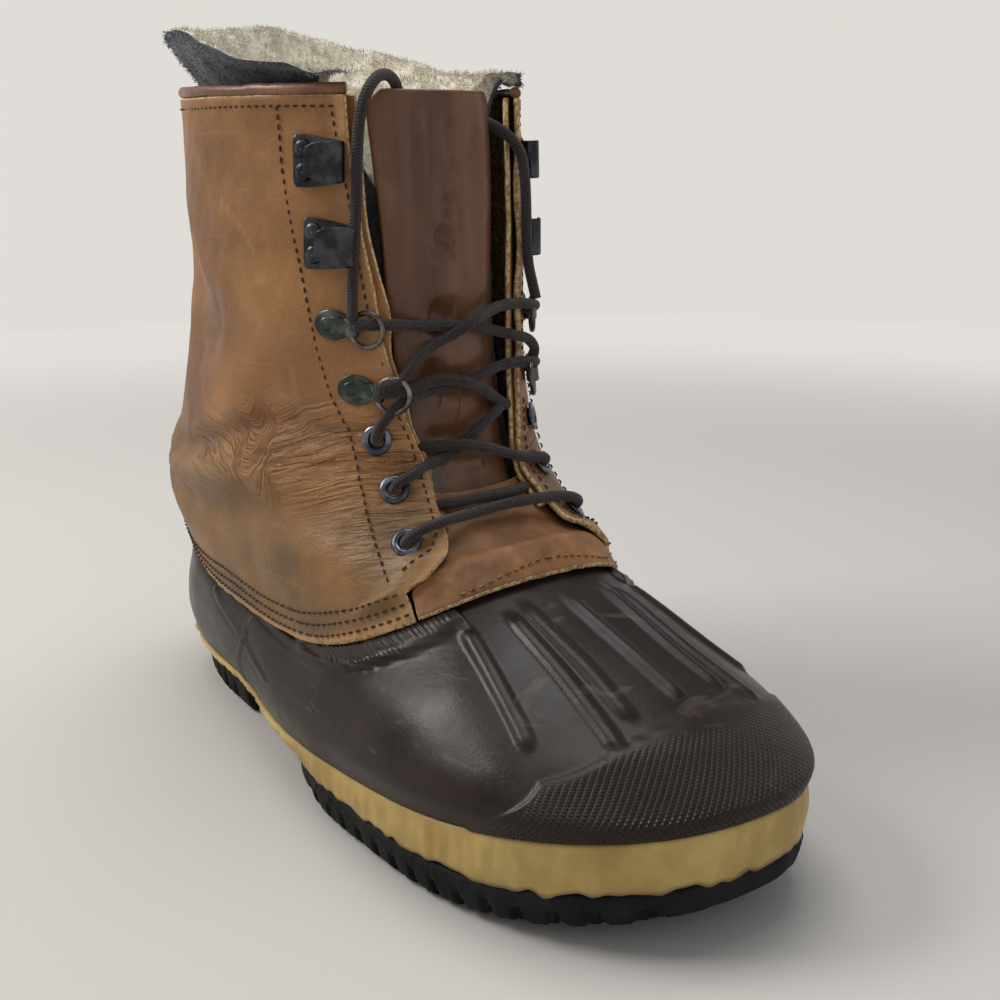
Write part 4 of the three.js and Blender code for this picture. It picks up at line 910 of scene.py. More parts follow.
def leather_attrs(p, level, turn):
    patina_and_low_shade = blots(p, (
        ([(6.505, .1364), (6.667, .1992), (6.775, .2431), (6.608, .2749), (6.506, .3142), (6.428, .364)],
         13, 0.85),
        ([(5.997, .2618), (5.91, .3009), (5.832, .3335)], 12, 0.55),
        ([(6.2, .3900), (6.5, .4200), (7.2, .4350)], 12, 0.4),
        ([(6.5, .1100), (6.3, .0400), (6.3, -.0400), (6.5, -.1100)], 12, 0.5),
        ([(6.6, .8600), (6.7, .7500), (6.5, .6800)], 13, 0.7)), 40)
    shade = blots(p, (
        ([(8.26, .2727), (8.5, .3000), (8.737, .3336)], 16, 0.55),
        ([(6.95, .2788), (6.95, .3202), (7.0, .3582)], 11, 0.35),
        ([(9.3, .3000), (8.9, .3300)], 16, 0.25),
        ([(7.883, .2516), (8.186, .2897), (8.30, .3486)], 6, 0.35)))
    wrinkle = blots(p, (
        ([(7.5, .2200), (7.75, .2700), (7.9, .3300), (8.05, .3800), (8.1, .4300)], 13, 1.0),
        ([(8.3, .3700), (8.35, .4200)], 7, 1.0), ([(6.9, .3900), (7.1, .4300)], 14, 0.5),
        ([(7.6, .7600), (7.9, .7000), (8.05, .6300), (8.1, .5700)], 13, 0.9)))
    cloud = 0.6 + 0.4 * waves(p, 55, 97)
    # The lower shaft is darkened all round: partly patina, partly painted shade of the light falling off
    # downwards
    low_part = (1 - smooth(6.6, 8.0, level)) * smooth(4.6, 5.2, level)
    patina_and_low_shade = np.maximum(patina_and_low_shade, (0.55 + 0.45 * cloud) * low_part)
    shade = np.maximum(shade, 0.75 * cloud * smooth(7.2, 7.9, level) * (1 - smooth(9.0, 10.2, level)))
    to_edge = np.interp(level, THROAT[:, 0], THROAT[:, 1]) - half_turn(turn)
    light = np.maximum(0.75 * (1 - smooth(5.0, 5.14, level)), 0.45 * smooth(0.02, 0.0, to_edge))
    for scratch in ([(10.157, .259), (9.949, .2863), (9.767, .3012)],
                    [(9.617, .2817), (9.543, .3184), (9.474, .3289)], [(9.62, .3300), (9.53, .3600)]):
        d, _ = near_path(p, on_last(scratch, LEATHER_OUT, 20), 3)
        light = np.maximum(light, 0.28 * (1 - smooth(0.2, 1.1, d)))
    return {"patina_and_low_shade": patina_and_low_shade, "shade": shade, "light": light, "wrinkle": wrinkle}


# Places of the metal pieces as (level, turn)
EYELETS = [(6.23, 0.4055), (7.54, 0.4145), (8.34, 0.4045)]
CLIPS = [(8.82, 0.392), (9.33, 0.374)]
HOOKS = [(9.88, 0.371), (10.43, 0.367)]


def surface_frame(level, turn, side):
    """Origin and axes of a place on the leather: ahead to the throat, along the shaft and outwards."""
    place = turn if side < 0 else 1 - turn
    level, place = np.array(level), np.array(place)
    origin = skin(level, place, np.array(LEATHER_OUT + lap(level, place)))
    z = last_normal(level, place)
    ahead = last_point(level, place - side * 0.01) - last_point(level, place)
    x = ahead - z * (ahead @ z)
    x /= np.linalg.norm(x)
    return origin, x, np.cross(z, x), z


def edge_shares(count):
    """Shares from edge to edge of the shaft, closer together near its edges."""
    t = np.linspace(-1, 1, count + 1)
    return np.sign(t) * (1 - (1 - np.abs(t)) ** 1.15)


def shaft():
    levels = np.concatenate([np.linspace(5, 6.2, 34), np.linspace(6.24, 8.9, 62),
                             np.linspace(8.95, COLLAR_LEVEL, 36)])
    n = 280
    level = levels[:, None] * np.ones(n + 1)
    turn = throat(levels)[:, None] * edge_shares(n)
    over = lap(level, turn)
    base = skin(level, turn, LEATHER_OUT + over)
    inner_side = [([(l, u - 1) for l, u in places], w, d) for places, w, d in INNER_CREASES]
    move = crease_field(base, CREASES) + crease_field(base, inner_side)
    move += 0.55 * waves(base, 75, 21) * smooth(5.6, 6.4, level)
    move += 0.12 * waves(base, 14, 22) * smooth(5.2, 6, level)
    # Rough, wavy cut edges
    side = np.abs(np.linspace(-1, 1, n + 1))[None, :]
    move += smooth(0.93, 1.0, side) * smooth(8.8, 9.2, level) * 0.9 * waves(base, 30, 23)
    move += (1 - smooth(5.0, 5.12, level)) * 0.3 * waves(base, 7, 24)
    outer = skin(level, turn, LEATHER_OUT + over + move)
    inner = skin(level, turn, LEATHER_IN + over + np.clip(move, -5.5, 1.5))
    attrs = leather_attrs(base, level, turn % 1.0)
    return strip_wall("shaft", outer, inner, [MAT["tan"], MAT["tan_inside"], MAT["raw"]], attrs, lip=0.25)


rest(shaft(), "tan_leather", "shaft")


def vamp():
    levels = np.concatenate([np.linspace(5, 5.7, 24), np.linspace(5.75, 7.6, 30)])
    n = 90
    level = levels[:, None] * np.ones(n + 1)
    edge = (throat(levels) + np.where(levels < 5.33, 0.006, -0.032 * smooth(5.33, 5.7, levels)))[:, None]
    turn = mix(edge, 1 - edge, np.linspace(0, 1, n + 1)[None, :])
    sink = (LEATHER_IN + LEATHER_WALL + 3 * GAP + FACING_WALL) * smooth(5.36, 6.3, level)
    base = skin(level, turn, LEATHER_OUT - sink)
    move = 0.5 * waves(base, 34, 31) * smooth(5.3, 5.9, level) + 0.15 * waves(base, 6, 32)
    move = move + crease_field(base, [([(5.9, .44), (6.0, .5), (5.9, .56)], 3, -0.8),
                                      ([(6.4, .45), (6.5, .5), (6.4, .55)], 3.5, 0.8)])
    outer = skin(level, turn, LEATHER_OUT - sink + move)
    inner = skin(level, turn, LEATHER_IN - sink + np.maximum(move, -0.5))
    return strip_wall("vamp", outer, inner, [MAT["vamp"], MAT["tan_inside"], MAT["raw"]], lip=0.25)


rest(vamp(), "tan_leather", "vamp")

TONGUE_OUT, TONGUE_WALL = -6.2, 2.0
# Dents and folds of the tongue, as in CREASES
TONGUE_FOLDS = [
    ([(10.75, .500), (10.4, .512)], 5, -1.4), ([(10.25, .492), (10.10, .500)], 5.5, -1.6),
    ([(9.98, .470), (9.90, .505)], 4.5, -1.8), ([(9.85, .480), (9.5, .484)], 6.0, 1.6),
    ([(9.45, .460), (9.4, .500)], 4, -1.8), ([(10.9, .470), (10.0, .462), (9.3, .456)], 5, 0.9),
    ([(10.8, .452), (9.6, .446)], 4, -0.8), ([(10.8, .560), (10.0, .552), (9.4, .540)], 7, 1.0),
    ([(9.3, .464), (9.1, .466)], 5.5, 1.1), ([(9.0, .45), (8.9, .52)], 4, -1.4),
    ([(8.75, .47), (8.7, .50)], 5.5, 1.2), ([(8.4, .45), (8.42, .53)], 4, -1.2),
    ([(8.1, .47), (8.1, .52)], 5, 1.0), ([(10.9, .452), (8.6, .448)], 7, 0.5),
    ([(10.8, .540), (9.6, .530)], 4, -0.5)]


def tongue():
    levels = np.linspace(7.3, 11, 110)
    n = 70
    low = np.interp(levels, [7.3, 8.4, 9.6, 11], [.452, .432, .414, .404])
    high = np.interp(levels, [7.3, 8.4, 9.6, 11], [.548, .560, .570, .588])
    # Rounded top corners
    round_off = 0.018 * np.maximum(0, (levels - 10.72) / 0.28) ** 2.4
    low, high = low + round_off, high - round_off
    level = levels[:, None] * np.ones(n + 1)
    turn = mix(low[:, None], high[:, None], np.linspace(0, 1, n + 1)[None, :])
    base = skin(level, turn, np.full(level.shape, TONGUE_OUT))
    move = crease_field(base, TONGUE_FOLDS, TONGUE_OUT)
    ripple = 0.16 * np.sin(turn * 1344 + 2.0 * waves(base, 30, 41))
    move += ripple * smooth(8.2, 8.8, level) * (1 - smooth(.455, .49, turn)) + 0.35 * waves(base, 40, 42)
    outer = skin(level, turn, TONGUE_OUT + move)
    inner = skin(level, turn, TONGUE_OUT - TONGUE_WALL + np.minimum(move, 0.4) * 0.5)
    return strip_wall("tongue", outer, inner, [MAT["brown"], MAT["tan_inside"], MAT["brown"]], lip=0.3)


rest(tongue(), "brown_leather", "tongue")

SIDES = ((-1, "outer"), (1, "inner"))


def facing(side, label):
    levels = np.linspace(6.65, COLLAR_LEVEL, 130)
    n = 22
    edge = throat(levels)
    base = skin(levels, edge if side < 0 else 1 - edge, np.zeros(len(levels)))
    near, far = edge + 0.005 + 0.0022 * waves(base, 26, 51 + side), edge - 0.045
    a, b = (far, near) if side < 0 else (1 - near, 1 - far)
    level = levels[:, None] * np.ones(n + 1)
    turn = mix(a[:, None], b[:, None], np.linspace(0, 1, n + 1)[None, :])
    grid = skin(level, turn, np.zeros(level.shape))
    move = 0.2 * waves(grid, 22, 53) * smooth(0.02, 0.0, np.abs(half_turn(turn) - edge[:, None] - 0.004))
    return strip_wall("facing " + label, skin(level, turn, move), skin(level, turn, move - FACING_WALL),
                      [MAT["tan"], MAT["tan_inside"], MAT["raw"]], lip=0.3)


for side, label in SIDES:
    rest(facing(side, label), "tan_leather", "facing_" + label)


def binding():
    """Rolled binding along the collar."""
    radius, n = 2.0, 220
    turn = float(throat(np.array([COLLAR_LEVEL]))[0]) * edge_shares(n)
    level = np.full(n + 1, COLLAR_LEVEL)
    middle = skin(level, turn, np.full(n + 1, LEATHER_IN + LEATHER_WALL / 2))
    sideways = last_normal(level, turn)
    lift = GAP + 1.95 + 0.35 * waves(middle, 60, 61) + 0.12 * waves(middle, 9, 62)
    rows = []
    for a in np.linspace(0, 2 * np.pi, 17)[:-1]:
        upwards = np.array([0, 0, 1.0]) * (lift + radius * math.sin(a))[:, None]
        rows.append(middle + sideways * (radius * math.cos(a)) + upwards)
    rows = np.array(rows)
    return new_mesh("collar binding", rows.reshape(-1, 3), sleeve_faces(*rows.shape[:2]),
                    measured(rows).reshape(-1, 2), [MAT["piping"]])


rest(binding(), "brown_leather", "collar_binding")

# Felt liner. Its rim is raised at the outer side, at RIM_RISE_TURN, and its slit widens from SLIT_FOOT up
FIT_PLAY, LINER_CLEAR, RIM_FLARE = 3.2, 8, 7.5
RIM_RISE, RIM_RISE_TURN, RIM_RISE_REACH = 11.2, 0.222, 0.075
SLIT_FOOT, SLIT_OFFSET, SLIT_SLOPE = 168, -3, 50 / 120


def liner():
    foot = BAND_WALL + 2 * GAP + RUBBER_WALL + 0.6
    levels = np.concatenate([[1.8, 2.6, 3.6], np.linspace(4.4, 10.4, 22), np.linspace(10.5, 12, 26)])
    n = 240
    share = np.linspace(0, 1, n + 1)
    dense = np.linspace(0.36, 0.66, 601)
    rows_out, rows_in = [], []
    for row in levels:
        level = np.full(n + 1, row)
        clear = float(mix(RUBBER_WALL + GAP + FIT_PLAY, LINER_CLEAR, smooth(5, 6.5, row))
                      - RIM_FLARE * smooth(10.6, 11.6, row))
        half = max(0.0, SLIT_SLOPE * (float(last_point(row, 0.5)[2]) - SLIT_FOOT))
        y = np.maximum.accumulate(skin(np.full(601, row), dense, np.full(601, -clear))[:, 1])
        a, b = np.interp([SLIT_OFFSET + half, SLIT_OFFSET - half], y, dense)
        if row > 11.3:
            a, b = a + 0.002 * math.sin(row * 17), b - 0.002 * math.sin(row * 23)
        turn = mix(a - 1, b, share)
        extra = ((foot - RUBBER_WALL) * (1 - smooth(0.5, 3.2, row))
                 + 4.5 * smooth(6, 7.2, row) * (1 - smooth(0.075, 0.13, np.abs(turn % 1.0 - 0.5))))
        base = skin(level, turn, np.zeros(n + 1))
        fuzz = (0.5 * waves(base, 12, 71) * smooth(10.9, 11.4, row)
                + 0.7 * waves(base, 45, 72) * smooth(11, 11.8, row))
        o = skin(level, turn, -clear - extra + fuzz)
        wall = FELT_WALL - 3.2 * smooth(11.2, 12, row) - 0.6 * waves(base, 9, 73) * smooth(9, 11, row)
        flat = last_normal(np.full(n + 1, 10.8), turn) * [1, 1, 0]
        flat = flat / np.linalg.norm(flat, axis=-1, keepdims=True)
        inward = mix(last_normal(level, turn), flat, float(smooth(10.3, 10.9, row)))
        away = (turn % 1.0 - RIM_RISE_TURN) / RIM_RISE_REACH
        raised = RIM_RISE * np.exp(-away ** 2) * smooth(10.95, 12, row)
        lift = np.array([0, 0, 1.0]) * (1.2 * waves(base, 40, 74) * smooth(11.4, 12, row) + raised)[:, None]
        rows_out.append(o + lift)
        rows_in.append(o - inward * wall[..., None] + lift)

    def low(x):
        return insole_top(x) + GAP

    def step(x):
        return np.maximum(band_top(x) + 2 * GAP, low(x) + 1)

    def feet(inset):
        return [plan_inset(mix(-0.4999, 0.4999, share), inset, z) for z in (low, step)]
    outer = np.concatenate([feet(foot), rows_out])
    inner = np.concatenate([feet(foot + FELT_WALL), rows_in])
    piece = strip_wall("liner", outer, inner, [MAT["felt"], MAT["fleece"], MAT["fleece_edge"]], lip=0.15)
    return piece, outer, inner


liner_piece, liner_out, liner_in = liner()
rest(liner_piece, "felt", "liner")


def hairs(name, grid, sign, count, length, width, mat, seed, lean):
    """Thin loose fibres standing on a (rows, columns, 3) grid, two triangles each."""
    r = np.random.default_rng(seed)
    a = r.integers(0, grid.shape[0] - 1, count)
    b = r.integers(0, grid.shape[1] - 1, count)
    u, v = r.random(count)[:, None], r.random(count)[:, None]
    p = (grid[a, b] * ((1 - u) * (1 - v)) + grid[a, b + 1] * (u * (1 - v))
         + grid[a + 1, b] * ((1 - u) * v) + grid[a + 1, b + 1] * (u * v))
    normal = np.cross(grid[a, b + 1] - grid[a, b], grid[a + 1, b] - grid[a, b]) * sign
    normal /= np.linalg.norm(normal, axis=1, keepdims=True)
    d = normal * lean + r.normal(size=(count, 3)) * 0.7 + np.array([0, 0, 0.25])
    d /= np.linalg.norm(d, axis=1, keepdims=True)
    w = np.cross(d, r.normal(size=(count, 3)))
    w /= np.linalg.norm(w, axis=1, keepdims=True)
    reach = (length * (0.4 + 0.9 * r.random(count)))[:, None]
    verts = np.stack([p - w * width / 2 - normal * 0.3, p + w * width / 2 - normal * 0.3,
                      p + d * reach * 0.6 + w * reach * 0.12, p + d * reach], 1).reshape(-1, 3)
    k = np.arange(count) * 4
    faces = np.concatenate([np.stack([k, k + 1, k + 2], -1), np.stack([k + 1, k + 3, k + 2], -1)]).tolist()
    rest(new_mesh(name, verts, faces, None, [mat], smooth_faces=False), "felt")


rim_rows = slice(len(liner_out) - 24, None)
rim_middle = (liner_out[-1] + liner_in[-1]) / 2
rim_top = np.stack([rim_middle, rim_middle + [0, 0, 0.8], liner_in[-1]])
hairs("liner fibres outside", liner_out[rim_rows], 1, 14000, 1.7, 0.16, MAT["felt_hair"], 81, 0.7)
hairs("liner fibres inside", liner_in[rim_rows], -1, 12000, 2.6, 0.2, MAT["fleece"], 82, 0.9)
hairs("liner fibres on the rim", rim_top, 1, 3500, 1.4, 0.16, MAT["fleece"], 83, 0.5)


# Metal pieces, each worked out in its own frame of surface_frame
def at(axes, p):
    o, x, y, z = axes
    p = np.asarray(p, float)
    return o + p[..., :1] * x + p[..., 1:2] * y + p[..., 2:] * z


def plain_mesh(name, points, faces, mat, smooth_faces=True):
    return new_mesh(name, points, faces, np.zeros((len(points), 2)), [mat], smooth_faces=smooth_faces)


def lathe(name, profile, axes, mat, n=40):
    """Ring turned from a profile of (radius, height)."""
    a = np.linspace(0, 2 * np.pi, n, endpoint=False)
    line = np.asarray(profile, float)
    r = line[:, None, 0]
    grid = np.stack([r * np.cos(a), r * np.sin(a), np.repeat(line[:, 1:], n, 1)], -1)
    return plain_mesh(name, at(axes, grid.reshape(-1, 3)), ring_faces(len(line), n), mat)


def bent_plate(line, widths, thick, axes, mat, corner=0.25):
    """Plate that follows a line of (x, z) with a width at each point."""
    p = np.asarray(line, float)
    t = np.gradient(p, axis=0)
    t /= np.linalg.norm(t, axis=1, keepdims=True)
    normal = np.stack([-t[:, 1], t[:, 0]], -1)
    w = np.asarray(widths, float) / 2
    h = thick / 2
    section = [(-1, -h + corner), (-1, h - corner), (-0.92, h), (0.92, h), (1, h - corner), (1, -h + corner),
               (0.92, -h), (-0.92, -h)]
    grid = np.array([np.stack([(p + normal * up_by)[:, 0], side_by * w, (p + normal * up_by)[:, 1]], -1)
                     for side_by, up_by in section])
    faces = sleeve_faces(*grid.shape[:2], flip=True)
    o = plain_mesh("plate", at(axes, grid.reshape(-1, 3)), faces, mat, smooth_faces=False)
    b = o.modifiers.new("soft edges", "BEVEL")
    b.width = 0.00025
    b.segments = 2
    b.limit_method = "ANGLE"
    return o


def rivet(place, radius, h, axes, mat):
    profile = [(radius * share, h * up_by) for share, up_by in ((0.93, 0.45), (0.75, 0.75), (0.45, 0.95))]
    profile = [(radius, -0.6), (radius, 0.0)] + profile + [(0.02, h), (0.02, -0.6)]
    return lathe("rivet", profile, (at(axes, np.array(place)), *axes[1:]), mat, 20)


def joined(name, parts):
    bpy.ops.object.select_all(action="DESELECT")
    for o in parts:
        for m in list(o.modifiers):
            bpy.context.view_layer.objects.active = o
            bpy.ops.object.modifier_apply(modifier=m.name)
    for o in parts:
        o.select_set(True)
    bpy.context.view_layer.objects.active = parts[0]
    bpy.ops.object.join()
    parts[0].name = name.replace(" ", "_")
    return parts[0]


def arc(x, z, radius, angles):
    return [(x + radius * math.sin(a), z - radius * math.cos(a)) for a in angles]


EYELET_PROFILE = [(2.5, -2.2), (3.2, -2.2), (3.25, 0.3), (5.3, 0.28), (5.45, 0.55), (5.2, 0.95), (4.6, 1.3),
                  (3.8, 1.42), (3.1, 1.2), (2.7, 0.7), (2.5, 0.0)]
# Speed hook: widths of its base at x, its folded line of (x, z) and that line's widths
HOOK_BASE = ((-9.2, 14.5), (-8.8, 16.4), (-8.0, 17.6), (-4, 17.4), (0, 16.6), (4, 15.4), (8, 14.4))
HOOK_FOLD = ([(1.0, 1.0), (5.0, 0.95), (8, 0.95)] + arc(8, 3.6, 2.75, np.linspace(0.2, math.pi - 0.2, 9))
             + [(8, 6.35), (4, 6.35), (1, 6.45), (-1.2, 6.8), (-2.0, 7.3)])
HOOK_FOLD_WIDTHS = [13.0, 13.4] + [13.6] * 11 + [13.4, 12.2, 9.6, 6.0]
CLIP_WIDTH, CLIP_ROUND, CLIP_ROUND_X = 10.5, 6.3, -1.7
CLIP_CURL = [(5.0, 0.95)] + arc(7.5, 2.8, 1.95, np.linspace(0, 1.85 * math.pi, 16))
CLIP_RIB = [(-1.5, 1.5), (1, 1.9), (4, 1.9), (6.4, 3.0)]
RING_RADIUS, RING_WIRE, RING_X, RING_Z = 6, 0.95, 13.0, 2.8


def hook(name, axes):
    mat = MAT["metal"]
    base = [(x, 0.85) for x, _ in HOOK_BASE]
    return joined(name, [bent_plate(base, [w for _, w in HOOK_BASE], 1.1, axes, mat),
                         bent_plate(HOOK_FOLD, HOOK_FOLD_WIDTHS, 1.1, axes, mat),
                         rivet((-5.4, 4.2, 1.3), 3.2, 1.9, axes, mat),
                         rivet((-5.0, -3.6, 1.3), 3.4, 2.1, axes, mat)])


def ring_clip(name, axes):
    mat = MAT["clip"]
    xs = -8 + 6.3 * (1 - np.cos(np.linspace(0, np.pi / 2, 9)))
    wide = [CLIP_WIDTH * math.sqrt(max(0.02, 1 - ((CLIP_ROUND_X - x) / CLIP_ROUND) ** 2)) if x < CLIP_ROUND_X
            else CLIP_WIDTH for x in xs]
    plate = [(x, 0.85) for x in (*xs, 0.5, 3.0, 5.0)]
    return joined(name, [bent_plate(plate, wide + [CLIP_WIDTH, 8.6, 6.4], 1.1, axes, mat),
                         bent_plate(CLIP_CURL, [5.6] * len(CLIP_CURL), 0.8, axes, mat, corner=0.2),
                         bent_plate(CLIP_RIB, [6.2, 6.0, 5.6, 5.4], 0.8, axes, mat),
                         rivet((-3.6, 0, 1.2), 2.6, 0.9, axes, mat)])


def lace_ring(name, axes):
    """Wire ring, threaded on the clip's barrel."""
    a = np.linspace(0, 2 * np.pi, 49)[:-1]
    circle = np.stack([RING_X + RING_RADIUS * np.cos(a), RING_RADIUS * np.sin(a), np.full(48, RING_Z)], -1)
    line = at(axes, circle)
    outwards = (line - at(axes, np.array([RING_X, 0, RING_Z]))) / RING_RADIUS
    rows = [line + RING_WIRE * (outwards * math.cos(b) + axes[3] * math.sin(b))
            for b in np.linspace(0, 2 * np.pi, 13)[:-1]]
    return plain_mesh(name, np.array(rows).reshape(-1, 3), ring_faces(12, 48), MAT["wire"])


def eyelet(name, axes):
    return lathe(name, EYELET_PROFILE, axes, MAT["eyelet"])


for side, label in SIDES:
    for places, makers in ((EYELETS, {"eyelet": eyelet}), (HOOKS, {"hook": hook}),
                           (CLIPS, {"ring_clip": ring_clip, "lace_ring": lace_ring})):
        for k, (level, turn) in enumerate(places):
            axes = surface_frame(level, turn, side)
            for kind, make in makers.items():
                node = "%s_%s_%d" % (kind, label, k + 1)
                piece = make(node, axes)
                rest(piece, "gunmetal", node)

# Laces. Places are (level, turn, distance outside the last), and for the ends also a lift
LACES = {
    "lace_bar_1": [
        [(6.23, .4055, -1.5), (6.23, .4055, 4.6), (6.26, .413, 6.6), (6.35, .425, 7.0), (6.49, .443, 5.5),
         (6.66, .466, 3.0), (6.75, .486, 2.0), (6.79, .502, 2.2), (6.72, .530, 3.0), (6.55, .560, 5.0),
         (6.35, .580, 7.0), (6.25, .590, 6.6), (6.23, .5945, 4.6), (6.23, .5945, -1.5)]],
    "lace_bar_2": [
        [(7.10, .438, 0.0), (7.12, .448, 0.1), (7.13, .466, .6), (7.17, .486, .6), (7.18, .502, .5),
         (7.19, .519, 0), (7.2, .545, 0.0)]],
    "lace_bar_3": [
        [(7.54, .4145, -1.5), (7.54, .4145, 4.4), (7.66, .4190, 6.4), (7.80, .427, 6.9), (7.95, .436, 5.6),
         (8.09, .449, 1.6), (8.18, .468, -1.6), (8.27, .485, -2.4), (8.38, .499, -2.2), (8.52, .520, -1.6),
         (8.62, .545, -1)],
        [(8.28, .437, -1.2), (8.3, .443, -1.4), (8.33, .463, -.6), (8.33, .484, 1.6), (8.28, .502, 2.0),
         (8.12, .530, 2.0), (7.90, .556, 4.0), (7.70, .575, 6.6), (7.58, .583, 6.2), (7.54, .5855, 4.4),
         (7.54, .5855, -1.5)]],
    "lace_bar_4": [
        [(8.34, .4045, -1.5), (8.34, .4045, 4.4), (8.45, .408, 6.6), (8.60, .416, 7.2), (8.77, .433, 5.4),
         (8.85, .452, 0.4), (8.90, .482, -2.4), (8.95, .513, -1.6), (9.0, .545, 0.6), (8.99, .565, 4.4),
         (8.96, .580, 8.0), (8.93, .5905, 8.2), (8.90, .5945, 6.0), (8.90, .589, 4.2)],
        [(8.82, .4120, 4.6), (8.82, .4085, 6.0), (8.83, .4130, 8.6), (8.84, .4230, 8.0), (8.87, .436, 4.6),
         (8.93, .453, 1.6), (8.96, .470, .9), (8.93, .495, 0.6), (8.84, .519, -1.0), (8.72, .540, -1.6),
         (8.6, .560, -1.2)]],
    "lace_bar_5": [
        [(8.86, .4120, 5.2), (8.86, .4088, 7.4), (8.88, .4150, 9.0), (8.92, .426, 7.9), (9.0, .434, 6.6),
         (9.12, .444, 3.6), (9.22, .460, 0.2), (9.30, .483, 0.2), (9.37, .500, 1.8), (9.42, .520, 1.0),
         (9.45, .545, 1.0), (9.45, .568, 4.0), (9.42, .585, 8.2), (9.38, .6030, 8.4), (9.36, .6080, 6.4),
         (9.36, .602, 4.8)],
        [(9.36, .392, 5.0), (9.35, .3900, 6.6), (9.36, .3960, 8.8), (9.365, .4050, 8.2), (9.37, .416, 6.0),
         (9.37, .430, 2.0), (9.36, .446, -1.0), (9.36, .470, -2.8), (9.35, .497, -2.6), (9.33, .520, -2.4),
         (9.28, .545, -1.0), (9.22, .565, 3.4), (9.16, .580, 7.0), (9.06, .5870, 8.6), (8.96, .5850, 7.0),
         (8.90, .585, 4.8)]],
}
LACE_ENDS = {
    "lace_end_outer": [
        (9.40, .3930, 9.6), (9.50, .3925, 8.2), (9.62, .392, 6.8), (9.88, .3945, 6.1), (10.11, .397, 6.0),
        (10.32, .3995, 6.0), (10.53, .402, 6.0), (10.71, .405, 5.8), (10.84, .409, 5.4, 1.0),
        (10.90, .414, 3.4, 4.0), (10.93, .421, -1.0, 6.6), (10.93, .430, -6.5, 6.8),
        (10.93, .438, -11, 4.0), (10.90, .443, -12.6, -1.0), (10.80, .446, -13, -5.0)],
    "lace_end_inner": [
        (9.45, .5920, 9.4), (9.55, .5935, 8.2), (9.70, .5940, 6.6), (9.94, .5945, 6.0), (10.14, .5955, 6.0),
        (10.32, .5960, 5.8), (10.48, .5955, 4.6), (10.58, .5950, 1.5), (10.66, .5935, -3.0),
        (10.72, .5900, -8.0), (10.74, .5800, -12.5)],
}
LACE_DIAMETER = 4.0


def lace_path(rows, count):
    r = np.array([tuple(row) + (0.0,) * (4 - len(row)) for row in rows])
    p = skin(r[:, 0], r[:, 1], r[:, 2])
    p[:, 2] += r[:, 3]
    return spline(p, count)


for node, strands in LACES.items():
    parts = []
    for k, rows in enumerate(strands):
        path = lace_path(rows, 110)
        swell = 1 + 0.05 * waves(path, 7, 90 + k)
        parts.append(tube(node, path, LACE_DIAMETER / 2 * swell, [MAT["lace"]]))
    o = joined(node, parts) if len(parts) > 1 else parts[0]
    o.name = node + "_strand"
    rest(o, "lace", node)
for node, rows in LACE_ENDS.items():
    path = lace_path(rows, 120)
    o = tube(node + "_strand", path, LACE_DIAMETER / 2, [MAT["lace"]])
    rest(o, "lace", node)


# Stitches
def stitches(name, rows, mat, length, pitch=3.4, radius=0.42):
    """Rows of short threads on the leather, each row a list of (level, turn) places."""
    verts, faces = [], []
    along = np.array([-0.5, -0.3, 0, 0.3, 0.5]) * length
    rise = np.array([-0.1, 0.4, 0.5, 0.4, -0.1])
    r = radius * np.array([0.5, 0.95, 1, 0.95, 0.5])[:, None]
    for places in rows:
        q = np.asarray(places, float)
        p = skin(q[:, 0], q[:, 1], LEATHER_OUT + lap(q[:, 0], q[:, 1]))
        s = np.r_[0, np.cumsum(np.linalg.norm(np.diff(p, axis=0), axis=1))]
        count = max(2, int(s[-1] / pitch))
        for k in range(count):
            w = (k + 0.5) * s[-1] / count + along
            level, turn = np.interp(w, s, q[:, 0]), np.interp(w, s, q[:, 1])
            out = LEATHER_OUT + lap(level, turn)
            middle = skin(level, turn, out)[2:3]
            move = crease_field(middle, CREASES)[0] if q[0, 1] < 0.5 else 0.0
            line = skin(level, turn, out + rise + move)
            normal = last_normal(level, turn)
            tangent = np.gradient(line, axis=0)
            tangent /= np.linalg.norm(tangent, axis=1, keepdims=True)
            side = np.cross(tangent, normal)
            b = len(verts)
            for k in range(6):
                a, here, there = k * math.pi / 3, b + k * 5, b + (k + 1) % 6 * 5
                verts.extend(line + (side * math.cos(a) + normal * math.sin(a)) * r)
                faces += [[here + m, there + m, there + m + 1, here + m + 1] for m in range(4)]
    return new_mesh(name, np.array(verts), faces, None, [mat])


def mirrored(rows):
    return [[(l, 1 - t) for l, t in r] for r in rows]


EYESTAY = [
    [(10.85, .3335), (10.39, .3335), (9.98, .339), (9.55, .347), (9.19, .3535), (8.74, .3645), (8.39, .379),
     (8.02, .384), (7.32, .384), (6.55, .38), (5.97, .376), (5.51, .371)]]
EDGE_ROW = [
    [(10.80, .3811), (10.48, .3850), (10.178, .3905), (9.9, .3935), (9.513, .4008), (9.04, .4140)],
    [(8.64, .4246), (8.331, .4360), (7.974, .4415), (7.5, .4425), (6.952, .4400), (6.5, .4370),
     (6.294, .4334), (6.0, .4220), (5.871, .4117), (5.62, .3866)]]
collar_line = np.linspace(0.02, 0.385, 60)
collar_lines = (collar_line, 1 - collar_line, np.linspace(-0.018, 0.018, 6))
COLLAR_ROW = [[(10.83, t) for t in line] for line in collar_lines]
